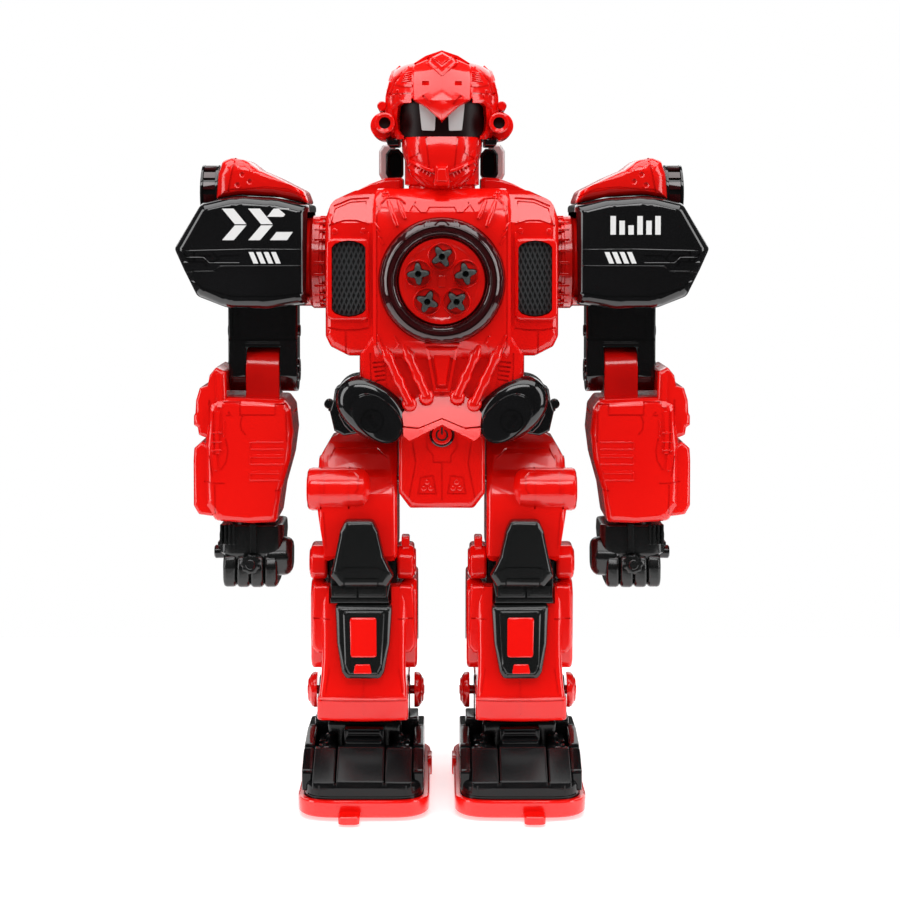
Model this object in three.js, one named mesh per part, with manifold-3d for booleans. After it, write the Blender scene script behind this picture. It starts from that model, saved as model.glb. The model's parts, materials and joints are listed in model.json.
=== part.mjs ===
// Walking toy robot, 390 mm tall: a clamshell torso with a five-dart chest launcher, a head that turns,
// arms that swing at the shoulder, elbow and wrist, and legs on one hip axle whose feet roll on wheels.
// Millimetres, +Z up, the face looks along -Y and the robot's right side is at -X.
// The origin is on the floor, under the middle of the whole object.
import * as THREE from "three";
import { mergeVertices } from "three/addons/utils/BufferGeometryUtils.js";
import Module from "manifold-3d";

const wasm = await Module();
wasm.setup();

// ---------------------------------------------------------------- driving dimensions

const GAP = 0.35; // clearance between neighbouring pieces
const HIP_PLANE_Y = 21; // the hip axle stands this far behind the middle of the feet
const FACETS = 16; // sides of an ordinary round piece

const TORSO = {
  top: 318,
  chestHalf: 36,
  chestFront: -50,
  bellyFront: -44.5,
  chestBack: 40,
  sideHalf: 60,
  sideFront: -42,
  sideBack: 38,
  sideBottom: 232,
  waistHalf: 42.5,
  pelvisHalf: 22.5,
  pelvisTop: 203,
  pelvisBottom: 152,
  pelvisFront: -37,
  pelvisBack: 34,
};
const LAUNCHER = { z: 270.6, ringRadius: 32, faceRadius: 22.2, dartCircle: 12.6, bore: 6.1, darts: 5 };
const GRILLE = { x: 47.8, z: 271.7, halfWidth: 8.6, halfHeight: 19.2 };
const POD = { x: 36, z: 204, long: 21, short: 14.5, tilt: -0.66, front: -48, back: -14 };
const BUTTON = { z: 190.8, radius: 5.4 };
const DOOR = { halfWidth: 26, bottom: 224, top: 290 };
const HEAD = { y: -6, neckRadius: 17.9, helmetBottom: 343.5, eyeHalf: 22, eyeBottom: 345, eyeTop: 362 };
const SHOULDER = { z: 279.5, drumRadius: 24.8, shaftRadius: 8, inner: -60.6, outer: -68 };
const ELBOW = { z: 222, prongRadius: 11.5, tongueRadius: 12.3, pinRadius: 2 };
const ARM = { outer: -113, inner: -76.4, slotOuter: -104.1, slotInner: -85.5, wristX: -103, wristY: -2 };
const HIP = { z: 163, radius: 27, axleRadius: 2.5 };
const LEG_X = -40.4; // middle of the right leg
const ANKLE = { z: 49.5, pinRadius: 2.5, discRadius: 9.5 };
const SHIN = { half: 22.5, top: 112, bottom: 43.5, frontTop: -38, frontSlope: 0.18 };
const FOOT = { x: -39.8, half: 33.6, front: -80, back: 50, floor: 1.5, lip: 10, corner: 19, upperInset: 3 };
const WHEEL = { radius: 9, y: 22, offset: 21, width: 6 };

// ---------------------------------------------------------------- materials

const plastic = (color, roughness = 0.22) =>
  new THREE.MeshStandardMaterial({ color, roughness, metalness: 0 });
const RED = plastic(0xe0130c);
const BLACK = plastic(0x0b0b0b, 0.2);
const GRILLE_BLACK = plastic(0x1b1d1c, 0.6);
const SMOKED_RED = plastic(0x2c0709, 0.08);
const RUBBER = plastic(0x2c302e, 0.7);
const SILVER = new THREE.MeshStandardMaterial({ color: 0xc9c9c6, roughness: 0.3, metalness: 0.6 });
const STEEL = new THREE.MeshStandardMaterial({ color: 0xb4b6ba, roughness: 0.3, metalness: 1 });
const BOARD_GREEN = plastic(0x1d5b31, 0.5);

// ---------------------------------------------------------------- solids

// A closed three.js geometry as a manifold solid, with its faces turned outwards.
function solidOf(geometry) {
  const loose = geometry.index ? geometry.toNonIndexed() : geometry;
  const bare = new THREE.BufferGeometry().setAttribute("position", loose.getAttribute("position"));
  const merged = mergeVertices(bare, 1e-3);
  const triVerts = new Uint32Array(merged.index.array);
  const vertProperties = merged.attributes.position.array;
  const make = () => new wasm.Manifold(new wasm.Mesh({ numProp: 3, vertProperties, triVerts }));
  const made = make();
  if (made.volume() >= 0) return made;
  for (let i = 0; i < triVerts.length; i += 3) {
    [triVerts[i + 1], triVerts[i + 2]] = [triVerts[i + 2], triVerts[i + 1]];
  }
  return make();
}

function geometryOf(solid) {
  const mesh = solid.getMesh();
  const points = new Float32Array(mesh.numVert * 3);
  for (let i = 0; i < mesh.numVert; i++) {
    points.set(mesh.vertProperties.subarray(i * mesh.numProp, i * mesh.numProp + 3), i * 3);
  }
  const geometry = new THREE.BufferGeometry();
  geometry.setAttribute("position", new THREE.BufferAttribute(points, 3));
  geometry.setIndex(new THREE.BufferAttribute(new Uint32Array(mesh.triVerts), 1));
  geometry.computeVertexNormals();
  return geometry;
}

const join = (...solids) => solids.reduce((a, b) => a.add(b));
const cut = (base, ...tools) => tools.reduce((a, b) => a.subtract(b), base);
const meet = (...solids) => solids.reduce((a, b) => a.intersect(b));
const mirrorX = (solid) => solid.mirror([1, 0, 0]);
const pair = (solid) => join(solid, mirrorX(solid));

// A box from its ranges along X, Y and Z.
function block([x0, x1], [y0, y1], [z0, z1]) {
  const geometry = new THREE.BoxGeometry(x1 - x0, y1 - y0, z1 - z0);
  geometry.translate((x0 + x1) / 2, (y0 + y1) / 2, (z0 + z1) / 2);
  return solidOf(geometry);
}

const [AXIS_X, AXIS_Y, AXIS_Z] = [0, 1, 2].map((i) => new THREE.Vector3().setComponent(i, 1));
const PLANES = {
  front: new THREE.Matrix4().makeBasis(AXIS_X, AXIS_Z, AXIS_Y.clone().negate()), // outline in x, z
  side: new THREE.Matrix4().makeBasis(AXIS_Y, AXIS_Z, AXIS_X), // outline in y, z
  top: new THREE.Matrix4(), // outline in x, y
};

// An outline drawn in a plane and thickened from one place to another along the third axis.
function slab(plane, outline, [from, to], bevel = 0) {
  const shape = new THREE.Shape(outline.map(([a, b]) => new THREE.Vector2(a, b)));
  const geometry = new THREE.ExtrudeGeometry(shape, {
    depth: to - from - 2 * bevel,
    bevelEnabled: bevel > 0,
    bevelThickness: bevel,
    bevelSize: bevel,
    bevelOffset: -bevel,
    bevelSegments: 1,
  });
  geometry.translate(0, 0, (plane === "front" ? -to : from) + bevel);
  return solidOf(geometry.applyMatrix4(PLANES[plane]));
}

// Points on an arc, from angle a to angle b in radians.
function arc(cx, cy, radius, a, b, steps = 6) {
  return Array.from({ length: steps + 1 }, (_, i) => {
    const angle = a + ((b - a) * i) / steps;
    return [cx + radius * Math.cos(angle), cy + radius * Math.sin(angle)];
  });
}

function roundedRectangle([x0, x1], [y0, y1], radius, steps = 3) {
  const quarter = Math.PI / 2;
  return [
    ...arc(x1 - radius, y0 + radius, radius, -quarter, 0, steps),
    ...arc(x1 - radius, y1 - radius, radius, 0, quarter, steps),
    ...arc(x0 + radius, y1 - radius, radius, quarter, 2 * quarter, steps),
    ...arc(x0 + radius, y0 + radius, radius, 2 * quarter, 3 * quarter, steps),
  ];
}

// A half outline on the +X side, from top to bottom, and its mirror image.
const bothSides = (half) => [...half, ...half.map(([x, z]) => [-x, z]).reverse()];

// A round bar along an axis: centre is its place across that axis, in X, Y, Z order.
function bar(axis, radius, [from, to], [a, b], sides = FACETS) {
  const geometry = new THREE.CylinderGeometry(radius, radius, to - from, sides);
  const middle = (from + to) / 2;
  if (axis === "x") geometry.rotateZ(Math.PI / 2).translate(middle, a, b);
  if (axis === "y") geometry.translate(a, middle, b);
  if (axis === "z") geometry.rotateX(Math.PI / 2).translate(a, b, middle);
  return solidOf(geometry);
}

// A solid through level rings with equal numbers of points; each ring is convex.
function loft(rings) {
  const count = rings[0].length;
  const index = [];
  for (let r = 0; r + 1 < rings.length; r++) {
    for (let i = 0; i < count; i++) {
      const [a, b] = [r * count + i, r * count + ((i + 1) % count)];
      index.push(a, b, b + count, a, b + count, a + count);
    }
  }
  const last = (rings.length - 1) * count;
  for (let i = 1; i + 1 < count; i++) index.push(0, i + 1, i, last, last + i, last + i + 1);
  const geometry = new THREE.BufferGeometry();
  geometry.setAttribute("position", new THREE.Float32BufferAttribute(rings.flat(2), 3));
  return solidOf(geometry.setIndex(index));
}

// A level squared-off oval, from its half width, its front and its back.
function ovalRing(z, half, front, back, points = 16, squareness = 2.6) {
  const power = 2 / squareness;
  const bend = (v) => Math.sign(v) * Math.abs(v) ** power;
  return Array.from({ length: points }, (_, i) => {
    const angle = (2 * Math.PI * (i + 0.5)) / points;
    const middle = (front + back) / 2;
    return [half * bend(Math.cos(angle)), middle + ((back - front) / 2) * bend(Math.sin(angle)), z];
  });
}

// A closed profile of [radius, y] points turned about the launcher's axis.
function turnedOnLauncher(profile) {
  const points = [...profile, profile[0]].map(([r, y]) => new THREE.Vector2(r, y));
  return solidOf(new THREE.LatheGeometry(points, 28).translate(0, 0, LAUNCHER.z));
}

function piece(name, solid, material) {
  const mesh = new THREE.Mesh(geometryOf(solid), material);
  mesh.name = name;
  return mesh;
}

// Adds pieces drawn on the right side, and their mirror images on the left, to a group.
function addPairs(group, pieces) {
  for (const [name, [solid, material]] of Object.entries(pieces)) {
    group.add(piece(`${name}_right`, solid, material));
    group.add(piece(`${name}_left`, mirrorX(solid), material));
  }
}

// ---------------------------------------------------------------- torso

const everywhere = [-400, 400];

function podOutline(grow) {
  const spin = new THREE.Vector2();
  return arc(0, 0, 1, 0, 2 * Math.PI * (1 - 1 / FACETS), FACETS - 1).map(([a, b]) => {
    spin.set(a * (POD.long + grow), b * (POD.short + grow)).rotateAround(new THREE.Vector2(), POD.tilt);
    return [-POD.x + spin.x, POD.z + spin.y];
  });
}

// The oval engine pod at the robot's right hip.
function hipPod(grow = 0) {
  const reach = [POD.front - 3 * grow, POD.back + grow];
  return slab("front", podOutline(grow), reach, grow ? 0 : 3);
}

function grilleOutline(grow) {
  const [w, h] = [GRILLE.halfWidth + grow, GRILLE.halfHeight + grow];
  return roundedRectangle([-GRILLE.x - w, -GRILLE.x + w], [GRILLE.z - h, GRILLE.z + h], 4);
}

const speakerGrille = () => slab("front", grilleOutline(0), [-43, -40.6], 0.6);

function torsoOutside() {
  const { chestHalf, waistHalf, top } = TORSO;
  const chest = bothSides([
    [chestHalf - 6, top - 0.5],
    [chestHalf - 0.4, top - 6],
    [chestHalf - 0.4, 241],
    [chestHalf - 8, 234],
  ]);
  const trunk = bothSides([
    [chestHalf - 6, top],
    [chestHalf, top - 6],
    [chestHalf, 244],
    [waistHalf, 234],
    [waistHalf, 220],
    [24, 201],
  ]);
  const side = roundedRectangle([-TORSO.sideHalf, -28], [TORSO.sideBottom, TORSO.top - 1], 12);
  const pelvis = bothSides([
    [TORSO.pelvisHalf, TORSO.pelvisTop],
    [TORSO.pelvisHalf, TORSO.pelvisBottom + 5],
    [TORSO.pelvisHalf - 4, TORSO.pelvisBottom],
  ]);
  const collar = block([-38, -20.5], [17.5, 36], [TORSO.top - 2, TORSO.top + 5]);
  return join(
    slab("front", chest, [TORSO.chestFront, -30], 4),
    slab("front", trunk, [TORSO.bellyFront, TORSO.chestBack], 3.5),
    pair(slab("front", side, [TORSO.sideFront, TORSO.sideBack], 4)),
    slab("front", pelvis, [TORSO.pelvisFront, TORSO.pelvisBack], 2),
    pair(collar),
  );
}

function torsoShell() {
  const inside = join(
    block([-33, 33], [TORSO.chestFront + 3, TORSO.chestBack - 3], [237, TORSO.top - 3]),
    block([-33.5, 33.5], [TORSO.bellyFront + 3, TORSO.chestBack - 3], [212, 240]),
    block([-57, 57], [TORSO.sideFront + 4, TORSO.sideBack - 3], [236, TORSO.top - 5]),
    block([-20, 20], [TORSO.pelvisFront + 3, TORSO.pelvisBack - 3], [155, 208]),
  );
  const doorway = block(
    [-DOOR.halfWidth - GAP, DOOR.halfWidth + GAP],
    [TORSO.chestBack - 6, TORSO.chestBack + 6],
    [DOOR.bottom - GAP, DOOR.top + GAP],
  );
  return cut(
    torsoOutside(),
    inside,
    doorway,
    bar("y", LAUNCHER.ringRadius + 0.8, [-70, -40], [0, LAUNCHER.z], 28),
    pair(slab("front", grilleOutline(GAP), [-60, -40.2])),
    pair(hipPod(GAP)),
    bar("z", HEAD.neckRadius + GAP, [300, 340], [0, HEAD.y]),
    bar("x", SHOULDER.shaftRadius + GAP, [-80, 80], [0, SHOULDER.z]),
    bar("x", HIP.axleRadius + GAP, [-80, 80], [0, HIP.z]),
    bar("y", BUTTON.radius + GAP, [-60, -30], [0, BUTTON.z]),
  );
}

const launcherRing = () =>
  turnedOnLauncher([
    [LAUNCHER.ringRadius, -47],
    [LAUNCHER.ringRadius, -53.5],
    [LAUNCHER.ringRadius - 2.5, -56.5],
    [LAUNCHER.ringRadius - 7, -57],
    [LAUNCHER.faceRadius + GAP, -54.5],
    [LAUNCHER.faceRadius + GAP, -47],
  ]);

// Places of the five darts around the launcher's middle, as [x, z].
const dartPlaces = Array.from({ length: LAUNCHER.darts }, (_, i) => {
  const angle = Math.PI / 2 + (2 * Math.PI * i) / LAUNCHER.darts;
  return [LAUNCHER.dartCircle * Math.cos(angle), LAUNCHER.z + LAUNCHER.dartCircle * Math.sin(angle)];
});

function launcherFace() {
  const tubes = dartPlaces.map((place) => bar("y", LAUNCHER.bore + 1.2, [-50.5, -8], place, 12));
  const bores = dartPlaces.map((place) => bar("y", LAUNCHER.bore, [-60, 0], place, 12));
  const disc = bar("y", LAUNCHER.faceRadius - 0.3, [-54, -49.5], [0, LAUNCHER.z], 28);
  return cut(join(disc, ...tubes), ...bores);
}

// A soft dart: a hollow four-finned tail outside, and the shaft that stands in the launcher's tube.
function dart([x, z], spin) {
  const star = Array.from({ length: 8 }, (_, i) => {
    const [angle, radius] = [spin + (Math.PI * i) / 4, i % 2 ? 2.9 : 5.6];
    return [x + radius * Math.cos(angle), z + radius * Math.sin(angle)];
  });
  const body = join(slab("front", star, [-62, -47], 0.5), bar("y", 2.8, [-48, -12], [x, z], 8));
  return cut(body, bar("y", 1.6, [-70, -55], [x, z], 8));
}

// Inside the torso: the dart launcher's motor with its cam, four cells in their tray, and the board.
const launcherMotor = () =>
  join(block([-18, 18], [-7, 6], [254, 288]), bar("x", 6, [18, 30], [0, 271]));

function batteryPack() {
  const cells = [0, 1, 2, 3].map((i) => bar("x", 7.2, [-25, 25], [21, 235 + 14.5 * i], 12));
  return join(block([-26, 26], [10, 14], [229, 285]), ...cells);
}

const circuitBoard = () => block([-24, 24], [-6, -4.4], [212, 246]);

// The loudspeaker's frame and magnet, behind the right grille.
function loudspeaker() {
  const place = [-46, GRILLE.z];
  return join(bar("y", 9, [-37.5, -33], place), bar("y", 5, [-33.5, -26], place));
}

function batteryDoor() {
  const outline = roundedRectangle([-DOOR.halfWidth, DOOR.halfWidth], [DOOR.bottom, DOOR.top], 2);
  const latch = block([-8, 8], [40.5, 42], [DOOR.top - 10, DOOR.top - 7]);
  return join(slab("front", outline, [37.4, 41], 0.6), latch);
}

// The cap that the finger presses, and the flange behind the shell that holds it in.
function powerButton() {
  const place = [0, BUTTON.z];
  return join(
    bar("y", BUTTON.radius, [-38.6, -33], place),
    bar("y", BUTTON.radius + 1.6, [-33.6, -31.5], place),
  );
}

// A silver exhaust that stands on the collar beside the neck.
function exhaust() {
  const outline = [
    [-34, 326],
    [-32, 323.4],
    [-22.6, 323.4],
    [-20.8, 326],
    [-20.8, 339],
    [-25, 342.5],
    [-34, 341.5],
  ];
  return slab("front", outline, [18.5, 34], 1);
}

function makeTorso() {
  const shell = torsoShell();
  const torso = new THREE.Group();
  torso.add(
    piece("torso_front_shell", meet(shell, block(everywhere, [-400, -0.2], everywhere)), RED),
    piece("torso_back_shell", meet(shell, block(everywhere, [0.2, 400], everywhere)), RED),
    piece("launcher_ring", launcherRing(), SMOKED_RED),
    piece("launcher_face", launcherFace(), RED),
    piece("launcher_motor", launcherMotor(), BLACK),
    piece("battery_pack", batteryPack(), BLACK),
    piece("battery_door", batteryDoor(), RED),
    piece("circuit_board", circuitBoard(), BOARD_GREEN),
    piece("loudspeaker", loudspeaker(), BLACK),
    piece("power_button", powerButton(), RED),
    piece("hip_axle", bar("x", HIP.axleRadius, [-61, 61], [0, HIP.z]), STEEL),
  );
  addPairs(torso, {
    speaker_grille: [speakerGrille(), GRILLE_BLACK],
    hip_pod: [hipPod(), BLACK],
    exhaust: [exhaust(), SILVER],
  });
  dartPlaces.forEach((place, i) => {
    const spin = (2 * i + 1) * 0.55;
    torso.add(piece(`dart_${i + 1}`, dart(place, spin), RUBBER));
  });
  return torso;
}

// ---------------------------------------------------------------- head

// The helmet's dome, grown or shrunk by a distance: [z, half width, front, back] of each ring.
function dome(grow, bottom = HEAD.helmetBottom) {
  const rings = [
    [bottom, 27.5, -40, 25],
    [352, 29.5, -42, 28],
    [363, 30.5, -42.5, 29.5],
    [372.5, 29, -38.5, 27],
    [379.5, 24.5, -31, 21],
    [384.5, 14, -21, 11],
  ];
  const last = rings.length - 1;
  return loft(
    rings.map(([z, half, front, back], i) =>
      ovalRing(z + (i === last ? grow : (grow * i) / last), half + grow, front - grow, back + grow),
    ),
  );
}

// A short tube at the helmet's right side, with a round lobe outside it.
function earPod(grow = 0) {
  const tube = bar("y", 4.8 + grow, [-33 - 9 * grow, 8 + grow], [-29.5, 352], 16);
  return join(tube, bar("y", 5.6 + grow, [-20 - grow, 6 + grow], [-31, 353.5], 16));
}

function eyeWindow(grow) {
  const half = HEAD.eyeHalf + grow;
  return block([-half, half], [-60, -20], [HEAD.eyeBottom - grow, HEAD.eyeTop + grow]);
}

const crestOutline = [
  [0, 390],
  [-14.5, 383],
  [-14.5, 364],
  [-9, 359.5],
  [0, 353],
  [9, 359.5],
  [14.5, 364],
  [14.5, 383],
];

function helmet() {
  const hollow = dome(-3.4, HEAD.helmetBottom - 8);
  const mouth = block([-20, 20], [-60, -20], [330, HEAD.eyeBottom]);
  return cut(dome(0), hollow, eyeWindow(GAP), pair(earPod(GAP)), mouth);
}

const crest = () => cut(meet(dome(5.5), slab("front", crestOutline, [-60, 4])), dome(GAP));

const visor = () => meet(cut(dome(-0.6), dome(-2.6)), eyeWindow(0));

// Two silver eyes on one bar, behind the visor.
function eyeReflector() {
  const eye = block([-12.2, -3.2], [-35.6, -34], [347, 360]);
  return join(pair(eye), block([-12, 12], [-34.2, -32.8], [350, 353]));
}

// The mouth guard and the neck that turns in the torso; wires pass through its bore.
function faceMask() {
  const guard = loft([
    ovalRing(318.8, 10, -41, 8),
    ovalRing(325, 17.5, -43, 11.5),
    ovalRing(334, 20.5, -43.5, 12),
    ovalRing(HEAD.helmetBottom - GAP, 21.5, -42, 12),
  ]);
  const neck = bar("z", HEAD.neckRadius, [302, 336], [0, HEAD.y]);
  return cut(join(guard, neck), bar("z", 14.5, [290, 350], [0, HEAD.y]));
}

function makeHead() {
  const head = new THREE.Group();
  head.add(
    piece("helmet_shell", helmet(), RED),
    piece("helmet_crest", crest(), RED),
    piece("visor", visor(), SMOKED_RED),
    piece("eye_reflector", eyeReflector(), SILVER),
    piece("face_mask", faceMask(), RED),
  );
  addPairs(head, { ear_pod: [earPod(), RED] });
  return head;
}

// ---------------------------------------------------------------- right arm

const armourOutline = [
  [-68.5, 309.5],
  [-86, 313.4],
  [-106, 314.4],
  [-124.5, 310.4],
  [-138.5, 287],
  [-133.8, 276.4],
  [-126.8, 261.8],
  [-111, 256],
  [-91, 255.2],
  [-69.5, 258],
];

const capOutline = [
  [-68.5, 310.4],
  [-86, 314.2],
  [-106, 315.2],
  [-117.5, 312.9],
  [-117.5, 333],
  [-109.6, 334.7],
  [-102.5, 333],
  [-96, 328],
  [-86, 324],
  [-71.5, 317.5],
];

// The black upper-arm armour, open towards the torso, with the round turbine on its shoulder.
function shoulderArmour() {
  const turbine = bar("x", 15, [-128, -118.2], [0, 316]);
  const inside = [
    [-60, 306],
    [-123, 306],
    [-134, 287],
    [-129, 274],
    [-123, 264.5],
    [-111, 259.5],
    [-60, 259.5],
  ];
  const hollow = slab("front", inside, [-37, 33]);
  const throat = block([ARM.outer - GAP, ARM.inner + GAP], [-12, 12], [240, 270]);
  return cut(join(slab("front", armourOutline, [-40, 36], 4), turbine), hollow, throat);
}

const shoulderDrum = () =>
  join(
    bar("x", SHOULDER.drumRadius, [SHOULDER.outer, SHOULDER.inner], [0, SHOULDER.z], 32),
    bar("x", SHOULDER.shaftRadius, [SHOULDER.inner - 1, -52], [0, SHOULDER.z]),
    bar("x", 10, [-82, SHOULDER.outer + 1], [0, SHOULDER.z]),
  );

// The black upper arm, whose two prongs hold the elbow pin.
function upperArm() {
  const r = ELBOW.prongRadius;
  const profile = [[-r, 268], ...arc(0, ELBOW.z, r, Math.PI, 2 * Math.PI, 8), [r, 268]];
  const slot = block([ARM.slotOuter, ARM.slotInner], [-20, 20], [200, 234.8]);
  const pinHole = bar("x", ELBOW.pinRadius + GAP, [-130, -60], [0, ELBOW.z]);
  const pocket = block([ARM.outer + 3, ARM.inner - 3], [-8.5, 8.5], [239.5, 280]);
  return cut(slab("side", profile, [ARM.outer, ARM.inner]), slot, pocket, pinHole);
}

const forearmOutline = [
  [-116, 223.4],
  [-122.6, 223.4],
  [-125.5, 218.6],
  [-129, 214],
  [-129.4, 187],
  [-130.4, 181],
  [-130.4, 151],
  [-127.5, 147],
  [-118, 143.8],
  [-86, 143.4],
  [-84.4, 160],
  [-78.6, 179],
  [-77.4, 190],
  [-78.4, 203],
  [-82, 208.2],
  [-113.6, 208.8],
];

function forearm() {
  const r = ELBOW.tongueRadius;
  const profile = [[-r, 206], [r, 206], ...arc(0, ELBOW.z, r, 0, Math.PI, 8)];
  const tongue = slab("side", profile, [ARM.slotOuter + GAP, ARM.slotInner - GAP]);
  const inside = [
    [-126, 205],
    [-126, 187],
    [-127.4, 179],
    [-127.4, 153],
    [-119, 147.5],
    [-90, 147.5],
    [-88, 160],
    [-81.5, 180],
    [-81, 203],
  ];
  const hollow = slab("front", inside, [-26, 24]);
  const wristHole = bar("z", 9.5 + GAP, [130, 152], [ARM.wristX, ARM.wristY]);
  const pinHole = bar("x", ELBOW.pinRadius + GAP, [-130, -60], [0, ELBOW.z]);
  return cut(join(slab("front", forearmOutline, [-29, 27], 3), tongue), hollow, wristHole, pinHole);
}

// The black fist, turning on a round wrist that reaches up into the forearm.
function hand() {
  const cuff = slab("top", roundedRectangle([-118.2, -83], [-22, 16], 6), [123.5, 142.8], 1);
  const knuckles = slab("side", roundedRectangle([-25, 13], [107.6, 125], 8), [-115, -86.5], 3);
  const thumb = slab("side", roundedRectangle([-20, 2], [113, 131.5], 7), [-95, -78.8], 2);
  const knob = bar("x", 4, [-121, -117], [-8, 125.5], 12);
  const wrist = bar("z", 9.5, [138, 160], [ARM.wristX, ARM.wristY]);
  return join(cuff, knuckles, thumb, knob, wrist);
}

const armPieces = () => ({
  shoulder_drum: [shoulderDrum(), RED],
  shoulder_armour: [shoulderArmour(), BLACK],
  shoulder_cap: [slab("front", capOutline, [-30, 27], 3), RED],
  upper_arm: [upperArm(), BLACK],
  elbow_pin: [bar("x", ELBOW.pinRadius, [ARM.outer + 1, ARM.inner - 1], [0, ELBOW.z]), STEEL],
  forearm: [forearm(), RED],
  hand: [hand(), BLACK],
});

// ---------------------------------------------------------------- right leg

// The red thigh: its top is round about the hip axle, and a short barrel crosses its front.
function thigh() {
  const profile = [
    ...arc(0, HIP.z, HIP.radius, 0, Math.PI, 10),
    [-38, 150],
    [-38, 129],
    [-31, 125],
    [29, 125],
    [34, 131],
    [34, 150],
  ];
  const outline = [
    [-65, 192],
    [-65, 150],
    [-59.8, 124],
    [-26, 124],
    [-23.2, 150],
    [-23.2, 192],
  ];
  const body = meet(slab("side", profile, [-66, -22]), slab("front", outline, [-39, 35], 3));
  const barrel = bar("x", 11.4, [-70.3, -37.6], [-30, 161.6], 20);
  const hollow = block([-57.5, -27.5], [-32.5, 28], [110, 152]);
  const ring = cut(bar("x", 23.5, [-61, -20], [0, HIP.z]), bar("x", 6.5, [-70, -10], [0, HIP.z]));
  const axleHole = bar("x", HIP.axleRadius + GAP, [-90, 0], [0, HIP.z], 12);
  return cut(join(body, barrel), hollow, ring, axleHole);
}

// The black knee: the guard in front and the block that joins thigh and shin behind it.
function kneeGuard() {
  const guard = [
    [-51.5, 147.5],
    [-33.5, 147.5],
    [-29.5, 128],
    [-24.5, 118],
    [-29, 112.6],
    [-53, 112.6],
    [-58, 118],
    [-55.5, 128],
  ];
  const front = cut(slab("front", guard, [-48, -36], 2), block(everywhere, [-38.4, 0], [124, 200]));
  const neck = block([-58, -26.8], [-40.5, -30.4], [106.2, 122]);
  const core = block([-57, -28], [-32, 26], [102, 150]);
  const hollow = block([-54.5, -30.5], [-29.5, 23.5], [90, 147.5]);
  return join(front, neck, cut(core, hollow));
}

const shinFrontAt = (z) => SHIN.frontTop - (SHIN.top - z) * SHIN.frontSlope;

function shin() {
  const { half, top, bottom } = SHIN;
  const profile = [
    [shinFrontAt(top), top],
    [shinFrontAt(bottom + 3), bottom + 3],
    [shinFrontAt(bottom + 3) + 4, bottom],
    [32, bottom],
    [37, 60],
    [37, 98],
    [31, top],
  ];
  const outline = [
    [LEG_X - half, bottom],
    [LEG_X + half, bottom],
    [LEG_X + half - 1, top],
    [LEG_X - half + 1, top],
  ];
  const body = meet(slab("side", profile, [-70, -10]), slab("front", outline, [-52, 38], 2));
  const calf = roundedRectangle([-30, 26], [67, 114], 10);
  const calves = [-68.5, -19].map((x) => slab("side", calf, [x, x + 6], 1.5));
  const barrels = [
    [-69, -61.4],
    [-23, -14.5],
  ].map((range) => bar("x", 9, range, [-16, 119.8], 20));
  const notch = block([-58.4, -26.4], [-60, -30], [105.8, 130]);
  const inside = [
    [-34, 130],
    [shinFrontAt(101) + 7, 101],
    [shinFrontAt(40) + 4, 40],
    [29, 40],
    [34, 60],
    [34, 97],
    [30, 130],
  ];
  const hollow = slab("side", inside, [-58, -27]);
  const wide = meet(slab("side", inside, [-60.5, -20.5]), block(everywhere, everywhere, [30, 100]));
  const pockets = block([-66, -15.5], [-26, 22], [71, 100]);
  const axleHole = bar("x", ANKLE.pinRadius + GAP, [-90, 0], [0, ANKLE.z], 12);
  return cut(join(body, ...calves, ...barrels), hollow, wide, pockets, notch, axleHole);
}

function shinPad() {
  const [low, high] = [66.7, 104.3];
  const profile = [
    [shinFrontAt(high) - GAP, high],
    [shinFrontAt(high) - 6, high - 2],
    [shinFrontAt(low) - 7, low + 2],
    [shinFrontAt(low) - GAP, low],
  ];
  return slab("side", profile, [LEG_X - 14.4, LEG_X + 14.4], 1);
}

function ankleAxle() {
  const place = [0, ANKLE.z];
  const discs = [-31, 26.2].map((x) =>
    bar("x", ANKLE.discRadius, [LEG_X + x, LEG_X + x + 4.8], place, 20),
  );
  return join(bar("x", ANKLE.pinRadius, [LEG_X - 28, LEG_X + 28], place), ...discs);
}

// ---------------------------------------------------------------- right foot

const footOutline = (inset) =>
  roundedRectangle(
    [FOOT.x - FOOT.half + inset, FOOT.x + FOOT.half - inset],
    [FOOT.front + inset, FOOT.back - inset],
    FOOT.corner - inset,
    4,
  );

// The red sole: a shallow tray with wheel slots, a glide under the toe and a tongue in front.
function footPlate() {
  const tray = cut(
    slab("top", footOutline(0), [FOOT.floor, FOOT.lip]),
    slab("top", footOutline(FOOT.upperInset), [FOOT.floor + 3, FOOT.lip + 5]),
  );
  const tip = roundedRectangle([LEG_X - 11.5, LEG_X - 0.5], [-92, -70], 3);
  const tongue = slab("top", tip, [0.7, FOOT.floor + 3.2]);
  const glide = block([LEG_X - 18, LEG_X + 18], [-66, -61], [0, FOOT.floor + 2]);
  const slots = [-1, 1].map((side) => {
    const x = LEG_X + side * WHEEL.offset;
    return block([x - 4, x + 4], [WHEEL.y - 10, WHEEL.y + 10], [-1, 8]);
  });
  return cut(join(tray, tongue, glide), ...slots);
}

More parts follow.
